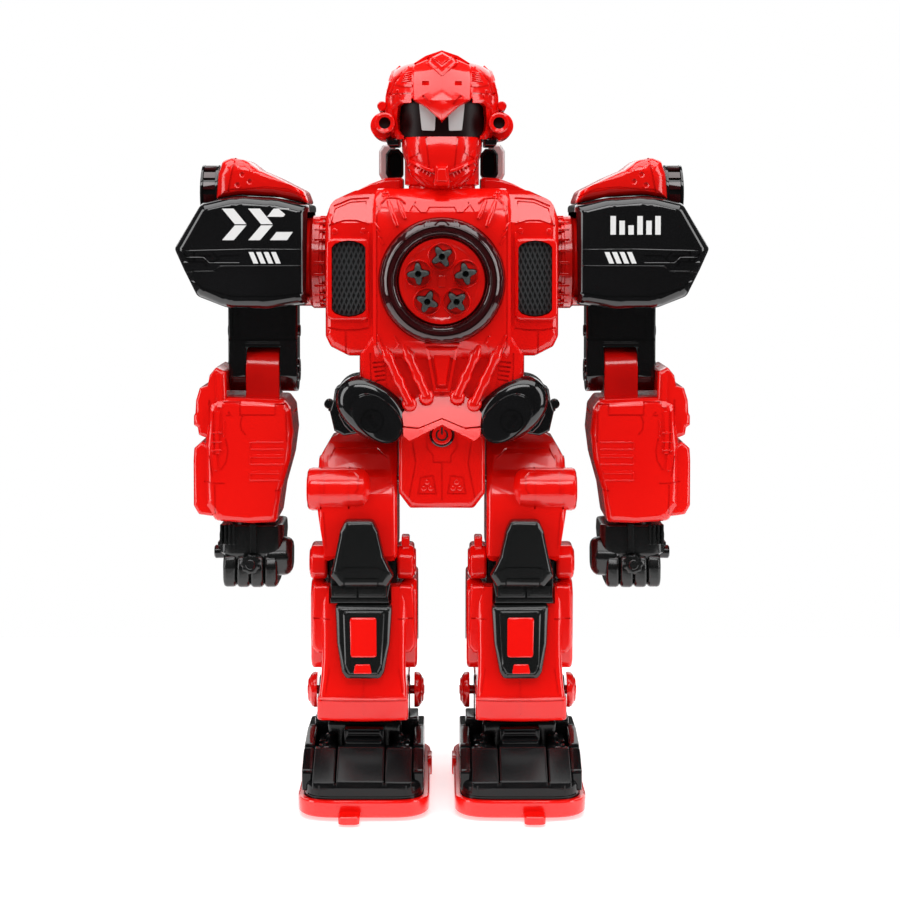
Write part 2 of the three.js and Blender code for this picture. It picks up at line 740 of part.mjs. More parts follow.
// The black foot: toe pads, side rails, wheel housings and the ears that hold the ankle axle.
function footUpper() {
  const bottom = FOOT.floor + 3 + GAP;
  const inset = FOOT.upperInset + GAP;
  const base = slab("top", footOutline(inset), [bottom, 18]);
  const toe = [
    [-75.5, 16],
    [-74, 19],
    [-54, 33],
    [-50.5, 30],
    [-50.5, 16],
  ];
  const rail = [
    [-66, 16],
    [-64, 24],
    [-48, 32],
    [18, 32],
    [40, 22],
    [40, 16],
  ];
  const ear = [[-11, 20], [11, 20], ...arc(0, ANKLE.z, 8, 0, Math.PI, 6)];
  const rails = [-30.6, 25.4].map((x) => slab("side", rail, [LEG_X + x, LEG_X + x + 5.2], 1));
  const ears = [-25.3, 23].map((x) => slab("side", ear, [LEG_X + x, LEG_X + x + 2.3]));
  const housings = [-1, 1].map((side) => {
    const x = LEG_X + side * WHEEL.offset;
    return block([x - 6, x + 6], [WHEEL.y - 12, WHEEL.y + 12], [10, 22]);
  });
  const hollow = join(
    block([LEG_X - 27, LEG_X + 27], [-69, 43], [0, 15.5]),
    slab("side", [[-69, 12], [-69, 19.5], [-55, 29], [-53.5, 12]], [LEG_X - 20, LEG_X + 20]),
    block([LEG_X - 17, LEG_X + 17], [-31.5, 8], [12, 38.5]),
  );
  const axle = [WHEEL.y, WHEEL.radius];
  const wells = [-1, 1].map((side) => {
    const x = LEG_X + side * WHEEL.offset;
    return bar("x", WHEEL.radius + 0.9, [x - 4, x + 4], axle, 20);
  });
  const wheelAxleHole = bar("x", 1.5 + GAP, [LEG_X - 28.3, LEG_X + 28.3], axle, 12);
  const ankleHole = bar("x", ANKLE.pinRadius + GAP, [-90, 0], [0, ANKLE.z]);
  const ankleBlock = block([LEG_X - 19.4, LEG_X + 19.4], [-34, 24], [16, 41]);
  const toePad = slab("side", toe, [LEG_X - 23, LEG_X + 23], 1);
  const solid = join(base, toePad, ankleBlock, ...rails, ...ears, ...housings);
  return cut(solid, hollow, ...wells, wheelAxleHole, ankleHole);
}

// Two driven wheels on one axle.
function wheelSet() {
  const wheels = [-1, 1].map((side) => {
    const x = LEG_X + side * WHEEL.offset;
    return bar("x", WHEEL.radius, [x - WHEEL.width / 2, x + WHEEL.width / 2], [WHEEL.y, WHEEL.radius]);
  });
  return join(bar("x", 1.5, [LEG_X - 28, LEG_X + 28], [WHEEL.y, WHEEL.radius], 12), ...wheels);
}

const legPieces = () => ({
  thigh: [thigh(), RED],
  knee_guard: [kneeGuard(), BLACK],
  shin: [shin(), RED],
  shin_pad: [shinPad(), BLACK],
  ankle_axle: [ankleAxle(), RED],
  foot_upper: [footUpper(), BLACK],
  foot_plate: [footPlate(), RED],
  wheel_set: [wheelSet(), RUBBER],
});

// ---------------------------------------------------------------- assembly

const limbs = new THREE.Group();
addPairs(limbs, armPieces());
addPairs(limbs, legPieces());

const robot = new THREE.Group();
robot.name = "toy_robot";
robot.add(makeTorso(), makeHead(), limbs);
robot.position.y = HIP_PLANE_Y;

export default robot;
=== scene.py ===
"""The looks of the toy robot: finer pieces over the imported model, in its frame, with materials and light.

Shapes are drawn in millimetres, with y counted from the hip axle and z from the floor. The right limbs are
drawn, and the left ones are their mirror image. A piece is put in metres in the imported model's frame when
it is made."""

import json
import math

import bmesh
import bpy
from mathutils import Matrix, Vector
from mathutils.bvhtree import BVHTree


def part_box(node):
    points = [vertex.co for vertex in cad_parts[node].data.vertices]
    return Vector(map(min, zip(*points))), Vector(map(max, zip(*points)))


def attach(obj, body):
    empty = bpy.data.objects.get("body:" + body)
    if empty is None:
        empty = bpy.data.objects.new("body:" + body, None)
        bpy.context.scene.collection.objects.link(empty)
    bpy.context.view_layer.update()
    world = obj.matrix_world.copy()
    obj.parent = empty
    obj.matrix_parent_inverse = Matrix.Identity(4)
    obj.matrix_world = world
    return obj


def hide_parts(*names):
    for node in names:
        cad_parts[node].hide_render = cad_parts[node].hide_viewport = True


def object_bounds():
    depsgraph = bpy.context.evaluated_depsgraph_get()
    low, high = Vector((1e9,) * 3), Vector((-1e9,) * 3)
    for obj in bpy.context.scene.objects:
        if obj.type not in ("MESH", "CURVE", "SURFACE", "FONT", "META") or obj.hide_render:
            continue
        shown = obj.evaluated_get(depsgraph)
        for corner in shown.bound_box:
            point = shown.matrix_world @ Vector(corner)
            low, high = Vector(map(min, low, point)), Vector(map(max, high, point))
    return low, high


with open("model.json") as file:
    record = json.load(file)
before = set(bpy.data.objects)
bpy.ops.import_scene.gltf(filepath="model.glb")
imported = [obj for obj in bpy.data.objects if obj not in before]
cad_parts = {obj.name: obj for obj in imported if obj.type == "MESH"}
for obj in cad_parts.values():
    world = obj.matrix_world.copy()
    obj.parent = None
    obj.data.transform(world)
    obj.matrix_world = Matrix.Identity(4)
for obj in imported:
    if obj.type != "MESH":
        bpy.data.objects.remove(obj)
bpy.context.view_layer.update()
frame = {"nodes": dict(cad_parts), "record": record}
scene = bpy.context.scene
record = frame["record"]
joints = {j["name"]: j for j in record["behaviour"]["joints"]}
slot_of = {s["node"]: s["material_slot"] for s in record["subparts"]}
body_of = {n: b for b, nodes in record["behaviour"]["bodies"].items() for n in nodes}
MM = 0.001
HIP_Y = joints["hip_right"]["pos_m"][1] / MM
# Engraved lines are drawn this much wider and deeper than real ones, so that they read from a metre away.
WIDER = 1.45
# How far the cutter of a groove stands over the surface, and how deep a rib is rooted in it.
CUTTER_REACH = 3.0
RIB_ROOT = 0.8
# The gap between the torso's two halves, and a distance that is outside the robot.
SEAM_GAP = 0.24
FAR = 500
# Added to a line of a table, this joins its end to its start.
CLOSED = "closed"
# A detail drawn for one side of the middle plane is repeated for the other.
BOTH_WAYS = (-1, 1)
# A ring may shrink to a point, but stays this large so that no face loses its area.
POINT = 0.01


def span(node):
    """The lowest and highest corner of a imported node, in the drawing's millimetres."""
    lo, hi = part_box(node)
    shift = Vector((0, HIP_Y, 0))
    return Vector(lo) / MM - shift, Vector(hi) / MM - shift


def middle_of(node):
    """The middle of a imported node's box, in the drawing's millimetres."""
    lo, hi = span(node)
    return tuple((a + b) / 2 for a, b in zip(lo, hi))


def joint_at(name):
    """A joint's place, in the drawing's millimetres."""
    return Vector(joints[name]["pos_m"]) / MM - Vector((0, HIP_Y, 0))


def around(count):
    """Evenly spaced angles of one full turn."""
    return [2 * math.pi * i / count for i in range(count)]


def circle(u, v, radius, angles):
    """Points on a circle at the given angles."""
    return [(u + radius * math.cos(a), v + radius * math.sin(a)) for a in angles]


# ---------------------------------------------------------------- outlines


def inset(outline, distance):
    """A closed outline moved inwards, with mitred corners."""
    n = len(outline)
    area = sum(outline[i - 1][0] * outline[i][1] - outline[i][0] * outline[i - 1][1] for i in range(n))
    turn = 1 if area > 0 else -1
    moved = []
    for i in range(n):
        a, b, c = (Vector(outline[j % n][:2]) for j in (i - 1, i, i + 1))
        u, v = (b - a).normalized(), (c - b).normalized()
        normal = Vector((-u.y - v.y, u.x + v.x)) * turn
        if normal.length < 1e-6:
            moved.append(tuple(b))
            continue
        normal.normalize()
        reach = max(0.45, normal.dot(Vector((-u.y, u.x)) * turn))
        moved.append(tuple(b + normal * (distance / reach)))
    return moved


def shrunk(outline, distance):
    """A closed outline drawn in towards its middle, so that its farthest points move by the distance."""
    us, vs = [p[0] for p in outline], [p[1] for p in outline]
    cu, cv = (min(us) + max(us)) / 2, (min(vs) + max(vs)) / 2
    ku, kv = 1 - 2 * distance / (max(us) - min(us)), 1 - 2 * distance / (max(vs) - min(vs))
    return [(cu + (u - cu) * ku, cv + (v - cv) * kv) for u, v in zip(us, vs)]


def rounded(points, radius=2.0, steps=3):
    """A closed outline with its corners rounded. A point may carry its own radius as a third number."""
    out = []
    n = len(points)
    for i, p in enumerate(points):
        r = p[2] if len(p) > 2 else radius
        a, b, c = (Vector(points[j % n][:2]) for j in (i - 1, i, i + 1))
        to_a, to_c = a - b, c - b
        half = to_a.angle(to_c) / 2
        if r <= 0 or half > 1.5:
            out.append(tuple(b))
            continue
        reach = min(r / math.tan(half), 0.48 * to_a.length, 0.48 * to_c.length)
        start, end = b + to_a.normalized() * reach, b + to_c.normalized() * reach
        for k in range(steps + 1):
            f = k / steps
            q = start * (1 - f) ** 2 + b * (2 * f * (1 - f)) + end * f**2
            out.append((q.x, q.y))
    return out


def oval(cx, cz, rx, rz, turn=0.0, count=32, power=2.0):
    """An oval outline; a power over 2 squares it off."""
    cos_turn, sin_turn = math.cos(turn), math.sin(turn)
    points = []
    for a in around(count):
        u = rx * math.copysign(abs(math.cos(a)) ** (2 / power), math.cos(a))
        v = rz * math.copysign(abs(math.sin(a)) ** (2 / power), math.sin(a))
        points.append((cx + u * cos_turn - v * sin_turn, cz + u * sin_turn + v * cos_turn))
    return points


def both(half):
    """A symmetric closed outline from its half on the +X side, top to bottom."""
    return list(half) + [(-p[0], *p[1:]) for p in reversed(half) if abs(p[0]) > 1e-6]


# How a point (u, v) of an outline at the depth w stands in space.
PLANES = {
    "xz": lambda u, v, w: (u, w, v),
    "yz": lambda u, v, w: (w, u, v),
    "xy": lambda u, v, w: (u, v, w),
}


# ---------------------------------------------------------------- solids


class Shape:
    """Closed solids gathered in one mesh."""

    def __init__(self):
        self.bm = bmesh.new()

    def put(self, verts, faces, bevel=0.0, segments=2, limit=30):
        """Adds a solid from its corners and faces, with edges sharper than the limit bevelled."""
        bm = bmesh.new()
        made = [bm.verts.new(v) for v in verts]
        for f in faces:
            bm.faces.new([made[i] for i in f])
        bmesh.ops.recalc_face_normals(bm, faces=bm.faces)
        if bevel:
            sharp = [e for e in bm.edges if e.calc_face_angle(0) > math.radians(limit)]
            bmesh.ops.bevel(
                bm, geom=sharp, offset=bevel, segments=segments, profile=0.5, affect="EDGES",
                clamp_overlap=True
            )
        self.take(bm)
        bm.free()
        return self

    def take(self, bm):
        """Adds a copy of another mesh in the making."""
        mesh = bpy.data.meshes.new("part")
        bm.to_mesh(mesh)
        self.bm.from_mesh(mesh)
        bpy.data.meshes.remove(mesh)

    def rings(self, rings, closed=False, **kw):
        """A skin through rings of equal length, capped at both ends unless the rings close on themselves."""
        n, m = len(rings[0]), len(rings)
        verts = [p for ring in rings for p in ring]
        faces = []
        for r in range(m if closed else m - 1):
            a, b = r * n, ((r + 1) % m) * n
            faces += [[a + i, a + (i + 1) % n, b + (i + 1) % n, b + i] for i in range(n)]
        if not closed:
            faces += [list(range(n)), list(range((m - 1) * n, m * n))]
        return self.put(verts, faces, **kw)

    def prism(self, outline, a, b, plane="xz", **kw):
        """An outline in a plane carried straight from a to b along the third axis."""
        place = PLANES[plane]
        return self.rings([[place(u, v, w) for u, v in outline] for w in (a, b)], **kw)

    def pillow(self, outline, levels, plane="xz", **kw):
        """An outline carried along the third axis: levels are (place, how far the outline is drawn in)."""
        place = PLANES[plane]
        return self.rings([[place(u, v, w) for u, v in shrunk(outline, d)] for w, d in levels], **kw)

    def cushion(self, outline, a, b, edge=1.5, plane="xz", steps=3, back=None):
        """A prism whose two ends are rounded off by edge, or by back at the far end."""
        back = edge if back is None else back
        turns = [math.pi / 2 * k / steps for k in range(steps + 1)]
        sign = 1 if b > a else -1
        front = [(a + sign * edge * (1 - math.sin(t)), edge * (1 - math.cos(t))) for t in reversed(turns)]
        rear = [(b - sign * back * (1 - math.sin(t)), back * (1 - math.cos(t))) for t in turns]
        return self.pillow(outline, front + rear if back > 0 else front + [(b, 0)], plane)

    def tower(self, stations, steps=3, crown=0.0, foot=0.0):
        """A stack of level rounded rectangles: stations are (z, x0, x1, y0, y1, corner radius), upwards."""

        def ring(z, x0, x1, y0, y1, r):
            return [(x, y, z) for x, y in rounded([(x0, y0), (x1, y0), (x1, y1), (x0, y1)], r, steps)]

        def ends(station, reach, way):
            z, x0, x1, y0, y1, r = station
            made = []
            for k in range(4):
                t = math.pi / 2 * k / 3
                d = reach * (1 - math.cos(t))
                level = z - way * reach * (1 - math.sin(t))
                made.append((level, x0 + d, x1 - d, y0 + d, y1 - d, max(r - d, 0.4)))
            return made

        low = ends(stations[0], foot, -1)[::-1] if foot else [stations[0]]
        high = ends(stations[-1], crown, 1) if crown else [stations[-1]]
        return self.rings([ring(*s) for s in (*low, *stations[1:-1], *high)])

    def turned(self, profile, axis, centre, count=40, closed=False, **kw):
        """A profile of (radius, place along the axis) turned about an axis through centre."""
        place = PLANES[{"x": "yz", "y": "xz", "z": "xy"}[axis]]
        rings = []
        for r, w in profile:
            ring = [place(u, v, w) for u, v in circle(0, 0, max(r, POINT), around(count))]
            rings.append([tuple(c + p for c, p in zip(centre, q)) for q in ring])
        return self.rings(rings, closed=closed, **kw)

    def rod(self, radius, a, b, axis, centre, count=24):
        """A plain round bar from a to b along an axis through centre."""
        return self.turned([(0, a), (radius, a), (radius, b), (0, b)], axis, centre, count)

    def pipe(self, path, radius, sides=12):
        """A round bar along a path of points; radius may be one number or one for each point."""
        points = [Vector(p) for p in path]
        radii = radius if isinstance(radius, (list, tuple)) else [radius] * len(points)
        rings = []
        normal = None
        for i, p in enumerate(points):
            ahead = points[min(i + 1, len(points) - 1)] - points[max(i - 1, 0)]
            ahead.normalize()
            if normal is None:
                normal = ahead.orthogonal().normalized()
            normal = (normal - ahead * normal.dot(ahead)).normalized()
            other = ahead.cross(normal)
            rings.append(
                [tuple(p + (normal * math.cos(t) + other * math.sin(t)) * radii[i]) for t in around(sides)]
            )
        return self.rings(rings)

    def box(self, x, y, z, bevel=0.4, segments=2):
        """A box between two places on each axis, with bevelled edges."""
        corners = [(a, b, c) for a in x for b in y for c in z]
        faces = [[0, 1, 3, 2], [4, 6, 7, 5], [0, 4, 5, 1], [2, 3, 7, 6], [0, 2, 6, 4], [1, 5, 7, 3]]
        return self.put(corners, faces, bevel=bevel, segments=segments)

    def ball(self, centre, radius, squash=(1, 1, 1), steps=10, count=20):
        """A ball, or an egg where it is squashed."""
        rings = []
        for t in (math.pi * k / steps for k in range(steps + 1)):
            r, y = max(radius * math.sin(t), POINT), -radius * math.cos(t)
            ring = [(x, y, z) for x, z in circle(0, 0, r, around(count))]
            rings.append([tuple(c + s * p for c, s, p in zip(centre, squash, q)) for q in ring])
        return self.rings(rings)

    def tree(self):
        """The surface as it is now, to measure depths on."""
        return BVHTree.FromBMesh(self.bm)

    def islands(self):
        """The separate closed solids of this shape, each as a shape of its own."""
        self.bm.verts.index_update()
        owner, groups = {}, []
        for start in self.bm.verts:
            if start.index in owner:
                continue
            owner[start.index] = len(groups)
            stack, faces = [start], set()
            while stack:
                vert = stack.pop()
                faces.update(vert.link_faces)
                for edge in vert.link_edges:
                    other = edge.other_vert(vert)
                    if other.index not in owner:
                        owner[other.index] = len(groups)
                        stack.append(other)
            groups.append(faces)
        made = []
        for faces in groups:
            solid, verts = Shape(), {}
            for face in faces:
                for v in face.verts:
                    if v.index not in verts:
                        verts[v.index] = solid.bm.verts.new(v.co)
                solid.bm.faces.new([verts[v.index] for v in face.verts])
            made.append(solid)
        return made

    def bounds(self):
        """The lowest and highest place on each axis."""
        points = [v.co for v in self.bm.verts]
        return [(min(p[i] for p in points), max(p[i] for p in points)) for i in range(3)]

    def carve(self, cutter, operation="DIFFERENCE"):
        """Cuts another shape away. Solids of the cutter that may touch each other go in separate rounds."""
        rounds = []
        for solid in cutter.islands():
            reach = solid.bounds()
            for made, boxes in rounds:
                if all(any(a1 < b0 or b1 < a0 for (a0, a1), (b0, b1) in zip(reach, box)) for box in boxes):
                    made.add(solid)
                    boxes.append(reach)
                    break
            else:
                rounds.append((solid, [reach]))
        for made, _ in rounds:
            self.boolean(made, operation)
        return self

    def boolean(self, cutter, operation):
        """Combines this shape with another one; a result without faces is not taken over."""
        pair = []
        for shape in (self, cutter):
            bmesh.ops.triangulate(shape.bm, faces=shape.bm.faces[:], ngon_method="EAR_CLIP")
            mesh = bpy.data.meshes.new("cut")
            shape.bm.to_mesh(mesh)
            made = bpy.data.objects.new("cut", mesh)
            scene.collection.objects.link(made)
            pair.append(made)
        base, tool = pair
        cut = base.modifiers.new("cut", "BOOLEAN")
        cut.operation, cut.solver, cut.object = operation, "MANIFOLD", tool
        done = bpy.data.meshes.new_from_object(base.evaluated_get(bpy.context.evaluated_depsgraph_get()))
        if len(done.polygons) > 3:
            self.bm.free()
            self.bm = bmesh.new()
            self.bm.from_mesh(done)
        for made in pair:
            mesh = made.data
            bpy.data.objects.remove(made)
            bpy.data.meshes.remove(mesh)
        bpy.data.meshes.remove(done)

    def merged(self):
        """The overlapping solids of this shape joined into one."""
        first, *rest = self.islands()
        for solid in rest:
            first.boolean(solid, "UNION")
        return first

    def half(self, side):
        """What lies behind (1) or in front (-1) of the plane through the hip axle, closed along the cut."""
        seam = side * SEAM_GAP / 2
        kept = Shape().add(self)
        everything = kept.bm.verts[:] + kept.bm.edges[:] + kept.bm.faces[:]
        made = bmesh.ops.bisect_plane(
            kept.bm, geom=everything, plane_co=(0, seam, 0), plane_no=(0, -side, 0), clear_outer=True
        )
        rim = [e for e in made["geom_cut"] if isinstance(e, bmesh.types.BMEdge)]
        bmesh.ops.holes_fill(kept.bm, edges=rim, sides=0)
        return kept

    def add(self, other):
        """Puts another shape's solids beside these."""
        self.take(other.bm)
        return self

    def mirrored(self):
        """The same solids on the other side of the middle plane."""
        twin = Shape()
        mesh = bpy.data.meshes.new("part")
        self.bm.to_mesh(mesh)
        mesh.transform(Matrix.Scale(-1, 4, (1, 0, 0)))
        mesh.flip_normals()
        twin.bm.from_mesh(mesh)
        bpy.data.meshes.remove(mesh)
        return twin

    def doubled(self):
        """These solids and their mirror image together."""
        return self.add(self.mirrored())


# How each side of the object is looked at: the ray's direction, and the place and depth of a point (u, v).
SIDES = {
    "front": ((0, 1, 0), lambda u, v, w: (u, w, v)),
    "back": ((0, -1, 0), lambda u, v, w: (u, w, v)),
    "right": ((1, 0, 0), lambda u, v, w: (w, u, v)),
    "left": ((-1, 0, 0), lambda u, v, w: (w, u, v)),
    "top": ((0, 0, -1), lambda u, v, w: (u, v, w)),
}


def axis_of(ray):
    """The number of the axis that a ray runs along."""
    return [abs(r) for r in ray].index(1)


def surface_at(tree, side, u, v):
    """How deep the surface lies at (u, v) seen from a side, or None."""
    ray, place = SIDES[side]
    origin = Vector(place(u, v, -sum(ray) * FAR))
    hit = tree.ray_cast(origin, Vector(ray))[0]
    return None if hit is None else hit[axis_of(ray)]


def strip(target, tree, path, width, out, into, side="front", closed=False, step=3.0, bevel=0.0):
    """Adds a ribbon that follows a surface: it stands over the surface by out and reaches into it.

    As a cutter, with a large out, it engraves a groove, and with a small one it is a raised rib."""
    points = [Vector(p[:2]) for p in path]
    if closed:
        points.append(points[0])
    fine = [points[0]]
    corners = {0}
    for a, b in zip(points, points[1:]):
        pieces = max(1, math.ceil((b - a).length / step))
        fine += [a.lerp(b, (k + 1) / pieces) for k in range(pieces)]
        corners.add(len(fine) - 1)
    if closed:
        fine.pop()
    n = len(fine)
    rails = []
    for i, p in enumerate(fine):
        before = fine[i - 1] if closed or i > 0 else None
        after = fine[(i + 1) % n] if closed or i < n - 1 else None
        u = (p - before).normalized() if before is not None else (after - p).normalized()
        v = (after - p).normalized() if after is not None else u
        normal = Vector((-u.y - v.y, u.x + v.x)).normalized()
        reach = width / 2 / max(0.5, normal.dot(Vector((-u.y, u.x))))
        rails.append((p + normal * reach, p - normal * reach, p))
    ray, place = SIDES[side]
    sign = sum(ray)
    rings = []
    depth = 0.0
    for left, right, middle in rails:
        found = surface_at(tree, side, middle.x, middle.y)
        depth = depth if found is None else found
        high, low = depth - sign * out, depth + sign * into
        rings.append([place(*left, high), place(*right, high), place(*right, low), place(*left, low)])
    target.rings(rings, closed=closed, bevel=bevel)


def groove(cutter, tree, path, width, depth, **kw):
    """A line engraved in a surface."""
    strip(cutter, tree, path, width * WIDER, CUTTER_REACH, depth * WIDER, **kw)


def rib(target, tree, path, width, height, **kw):
    """A raised line on a surface."""
    strip(target, tree, path, width, height, RIB_ROOT, bevel=0.25, **kw)


def grooves(cutter, tree, lines, sides=("front",)):
    """Several engraved lines on one or more sides: lines are (width, depth, path), or with CLOSED added."""
    for side in sides:
        for width, depth, path, *closed in lines:
            groove(cutter, tree, path, width, depth, side=side, closed=bool(closed))


def on_side(g, lines):
    """Lines drawn for the +X half, kept there or mirrored to the other half."""
    return [(width, reach, [(g * u, v) for u, v in path], *closed) for width, reach, path, *closed in lines]


def ribs(target, tree, lines):
    """Several raised lines on the front: lines are (width, height, path)."""
    for width, height, path in lines:
        rib(target, tree, path, width, height)


def screw(target, tree, u, v, radius=1.6, side="front"):
    """A round screw head in a shallow dish, with a straight slot."""
    depth = surface_at(tree, side, u, v)
    if depth is None:
        return
    ray, place = SIDES[side]
    sign, axis = sum(ray), "xyz"[axis_of(ray)]
    profile = [(radius, 0.6), (radius, -0.25), (radius * 0.8, -0.5), (radius * 0.3, -0.55)]
    target.turned([(r, sign * w) for r, w in profile], axis, place(u, v, depth), count=16)
    slot = ((-1, -0.25), (1, -0.25), (1, 0.25), (-1, 0.25))
    bar = [place(u + a, v + b, depth - sign * c) for a, b in slot for c in (0.4, 0.72)]
    target.put(bar, [[0, 2, 4, 6], [1, 7, 5, 3], [0, 1, 3, 2], [2, 3, 5, 4], [4, 5, 7, 6], [6, 7, 1, 0]])


def rivet(target, tree, u, v, profile, count, fallback=0):
    """A small boss on the front: profile is (radius, depth from the surface)."""
    depth = surface_at(tree, "front", u, v) or fallback
    target.turned([(r, depth + w) for r, w in profile], "y", (u, 0, v), count=count)




# ---------------------------------------------------------------- materials


COAT_ROUGHNESS = 0.04
DRIFT_SCALE = 18.0


def moulded(name, base, second, rough, coat=0.0, grain=0.05, speck=900.0, metal=0.0, orange=40.0):
    """A moulded or worked surface: slow colour drift, uneven gloss and a faint texture."""
    mat = bpy.data.materials.new(name)
    mat.use_nodes = True
    nodes, link = mat.node_tree.nodes, mat.node_tree.links.new
    shader = nodes["Principled BSDF"]
    shader.inputs["Metallic"].default_value = metal
    shader.inputs["Coat Weight"].default_value = coat
    shader.inputs["Coat Roughness"].default_value = COAT_ROUGHNESS
    place = nodes.new("ShaderNodeTexCoord")

    def noise(scale, detail=2.0):
        made = nodes.new("ShaderNodeTexNoise")
        made.inputs["Scale"].default_value = scale
        made.inputs["Detail"].default_value = detail
        link(place.outputs["Object"], made.inputs["Vector"])
        return made.outputs["Fac"]

    tint = nodes.new("ShaderNodeValToRGB")
    for element, position, colour in zip(tint.color_ramp.elements, (0.3, 0.7), (base, second)):
        element.position = position
        element.color = (*colour, 1)
    link(noise(DRIFT_SCALE, 3.0), tint.inputs["Fac"])
    link(tint.outputs["Color"], shader.inputs["Base Color"])
    gloss = nodes.new("ShaderNodeMapRange")
    gloss.inputs["To Min"].default_value = rough * 0.8
    gloss.inputs["To Max"].default_value = rough * 1.25
    link(noise(speck), gloss.inputs["Value"])
    link(gloss.outputs["Result"], shader.inputs["Roughness"])
    soft = nodes.new("ShaderNodeBump")
    soft.inputs["Strength"].default_value = grain
    soft.inputs["Distance"].default_value = MM
    link(noise(orange), soft.inputs["Height"])
    link(soft.outputs["Normal"], shader.inputs["Normal"])
    return mat


def less_specular(mat, level):
    """Weakens a material's mirror-like reflection."""
    mat.node_tree.nodes["Principled BSDF"].inputs["Specular IOR Level"].default_value = level
    return mat


def grey(level):
    """A neutral colour."""
    return (level, level, level)


JET, JET_LIGHT = (0.0035, 0.0035, 0.0038), (0.006, 0.006, 0.0065)
LOOKS = {
    "red_plastic": moulded(
        "red plastic", (0.80, 0.0035, 0.002), (0.86, 0.006, 0.003), 0.16, coat=0.35, grain=0.06
    ),
    "black_plastic": moulded("black plastic", JET, JET_LIGHT, 0.10, coat=0.4),
    "satin_black": moulded("satin black", (0.0045, 0.005, 0.005), (0.007, 0.0075, 0.0075), 0.22, coat=0.2),
    # The grille's black is lifted to a dark grey, a painted sheen on its bars.
    "grille_black": moulded("grille black with painted sheen", (0.030, 0.033, 0.035), (0.042, 0.046, 0.047), 0.42, grain=0.1),
    "smoked_red": moulded("smoked red", (0.020, 0.0012, 0.0018), (0.034, 0.002, 0.003), 0.07, coat=0.6),
    "silver_plastic": moulded(
        "silver plastic", grey(0.62), (0.70, 0.70, 0.69), 0.3, grain=0.02, speck=60.0, metal=0.2
    ),
    "dart_rubber": moulded(
        "dart rubber", (0.026, 0.030, 0.029), (0.040, 0.045, 0.043), 0.5, grain=0.2, orange=300.0
    ),
    "wheel_rubber": moulded("wheel rubber", grey(0.010), grey(0.018), 0.65, grain=0.2),
    "steel": moulded("drawn steel", (0.42, 0.43, 0.44), (0.52, 0.53, 0.54), 0.3, metal=1.0),
    "board_green": moulded("board green", (0.010, 0.09, 0.03), (0.014, 0.12, 0.045), 0.4),
}
WHITE_PRINT = moulded("white print", (0.80, 0.80, 0.79), (0.86, 0.86, 0.85), 0.3)
FOOT_BLACK = less_specular(moulded("foot black", JET, JET_LIGHT, 0.12), 0.3)
# Near-black and matte: painted shade in the ear tubes and behind the grille bars, and also the printed power
# mark.
SHADE_AND_PRINT_BLACK = moulded("painted shade and print black", grey(0.003), grey(0.006), 0.6)
SMOKED_WINDOW = less_specular(
    moulded("smoked window", (0.006, 0.001, 0.0012), (0.010, 0.0015, 0.002), 0.38), 0.2
)


# ---------------------------------------------------------------- pieces

LIMBS = ("arm", "forearm", "hand", "leg", "foot", "wheels")


def piece(name, shape, body, nodes=(), look=None, slot="red_plastic", smooth=32):
    """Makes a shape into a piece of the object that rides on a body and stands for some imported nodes."""
    mesh = bpy.data.meshes.new(name)
    bmesh.ops.triangulate(shape.bm, faces=shape.bm.faces[:], ngon_method="EAR_CLIP")
    shape.bm.to_mesh(mesh)
    mesh.transform(Matrix.Scale(MM, 4) @ Matrix.Translation((0, HIP_Y, 0)))
    mesh.materials.append(look or LOOKS[slot])
    mesh.polygons.foreach_set("use_smooth", [True] * len(mesh.polygons))
    mesh.set_sharp_from_angle(angle=math.radians(smooth))
    made = bpy.data.objects.new(name, mesh)
    scene.collection.objects.link(made)
    even = made.modifiers.new("even shading", "WEIGHTED_NORMAL")
    even.keep_sharp = True
    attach(made, body)
    if nodes:
        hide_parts(*nodes)
    return made


def pair(name, shape, body, nodes=(), **kw):
    """A piece on the right as drawn, and its mirror image on the left; a limb's body also comes in pairs."""
    for side, solid in (("right", shape), ("left", shape.mirrored())):
        own = f"{body}_{side}" if body in LIMBS else body
        piece(f"{name}_{side}", solid, own, [f"{n}_{side}" for n in nodes], **kw)


# ---------------------------------------------------------------- head


def smooth_between(rows, count):
    """Rows of numbers resampled along a smooth curve through them."""

    def blend(p, q, r, s, f):
        square, cube = 2 * p - 5 * q + 4 * r - s, 3 * q - p - 3 * r + s
        return 0.5 * (2 * q + (r - p) * f + square * f**2 + cube * f**3)

    out = []
    last = len(rows) - 1
    for k in range(count + 1):
        t = k / count * last
        i = min(int(t), last - 1)
        near = (rows[max(0, min(last, j))] for j in (i - 1, i, i + 1, i + 2))
        out.append(tuple(blend(*values, t - i) for values in zip(*near)))
    return out


def dome(rows, levels=26, count=56, power=2.7):
    """A helmet-like skin from rows of (z, half width, front, back)."""
    rings = []
    for z, half, front, back in smooth_between(rows, levels):
        outline = oval(0, (front + back) / 2, half, (back - front) / 2, count=count, power=power)
        rings.append([(x, y, z) for x, y in outline])
    return rings


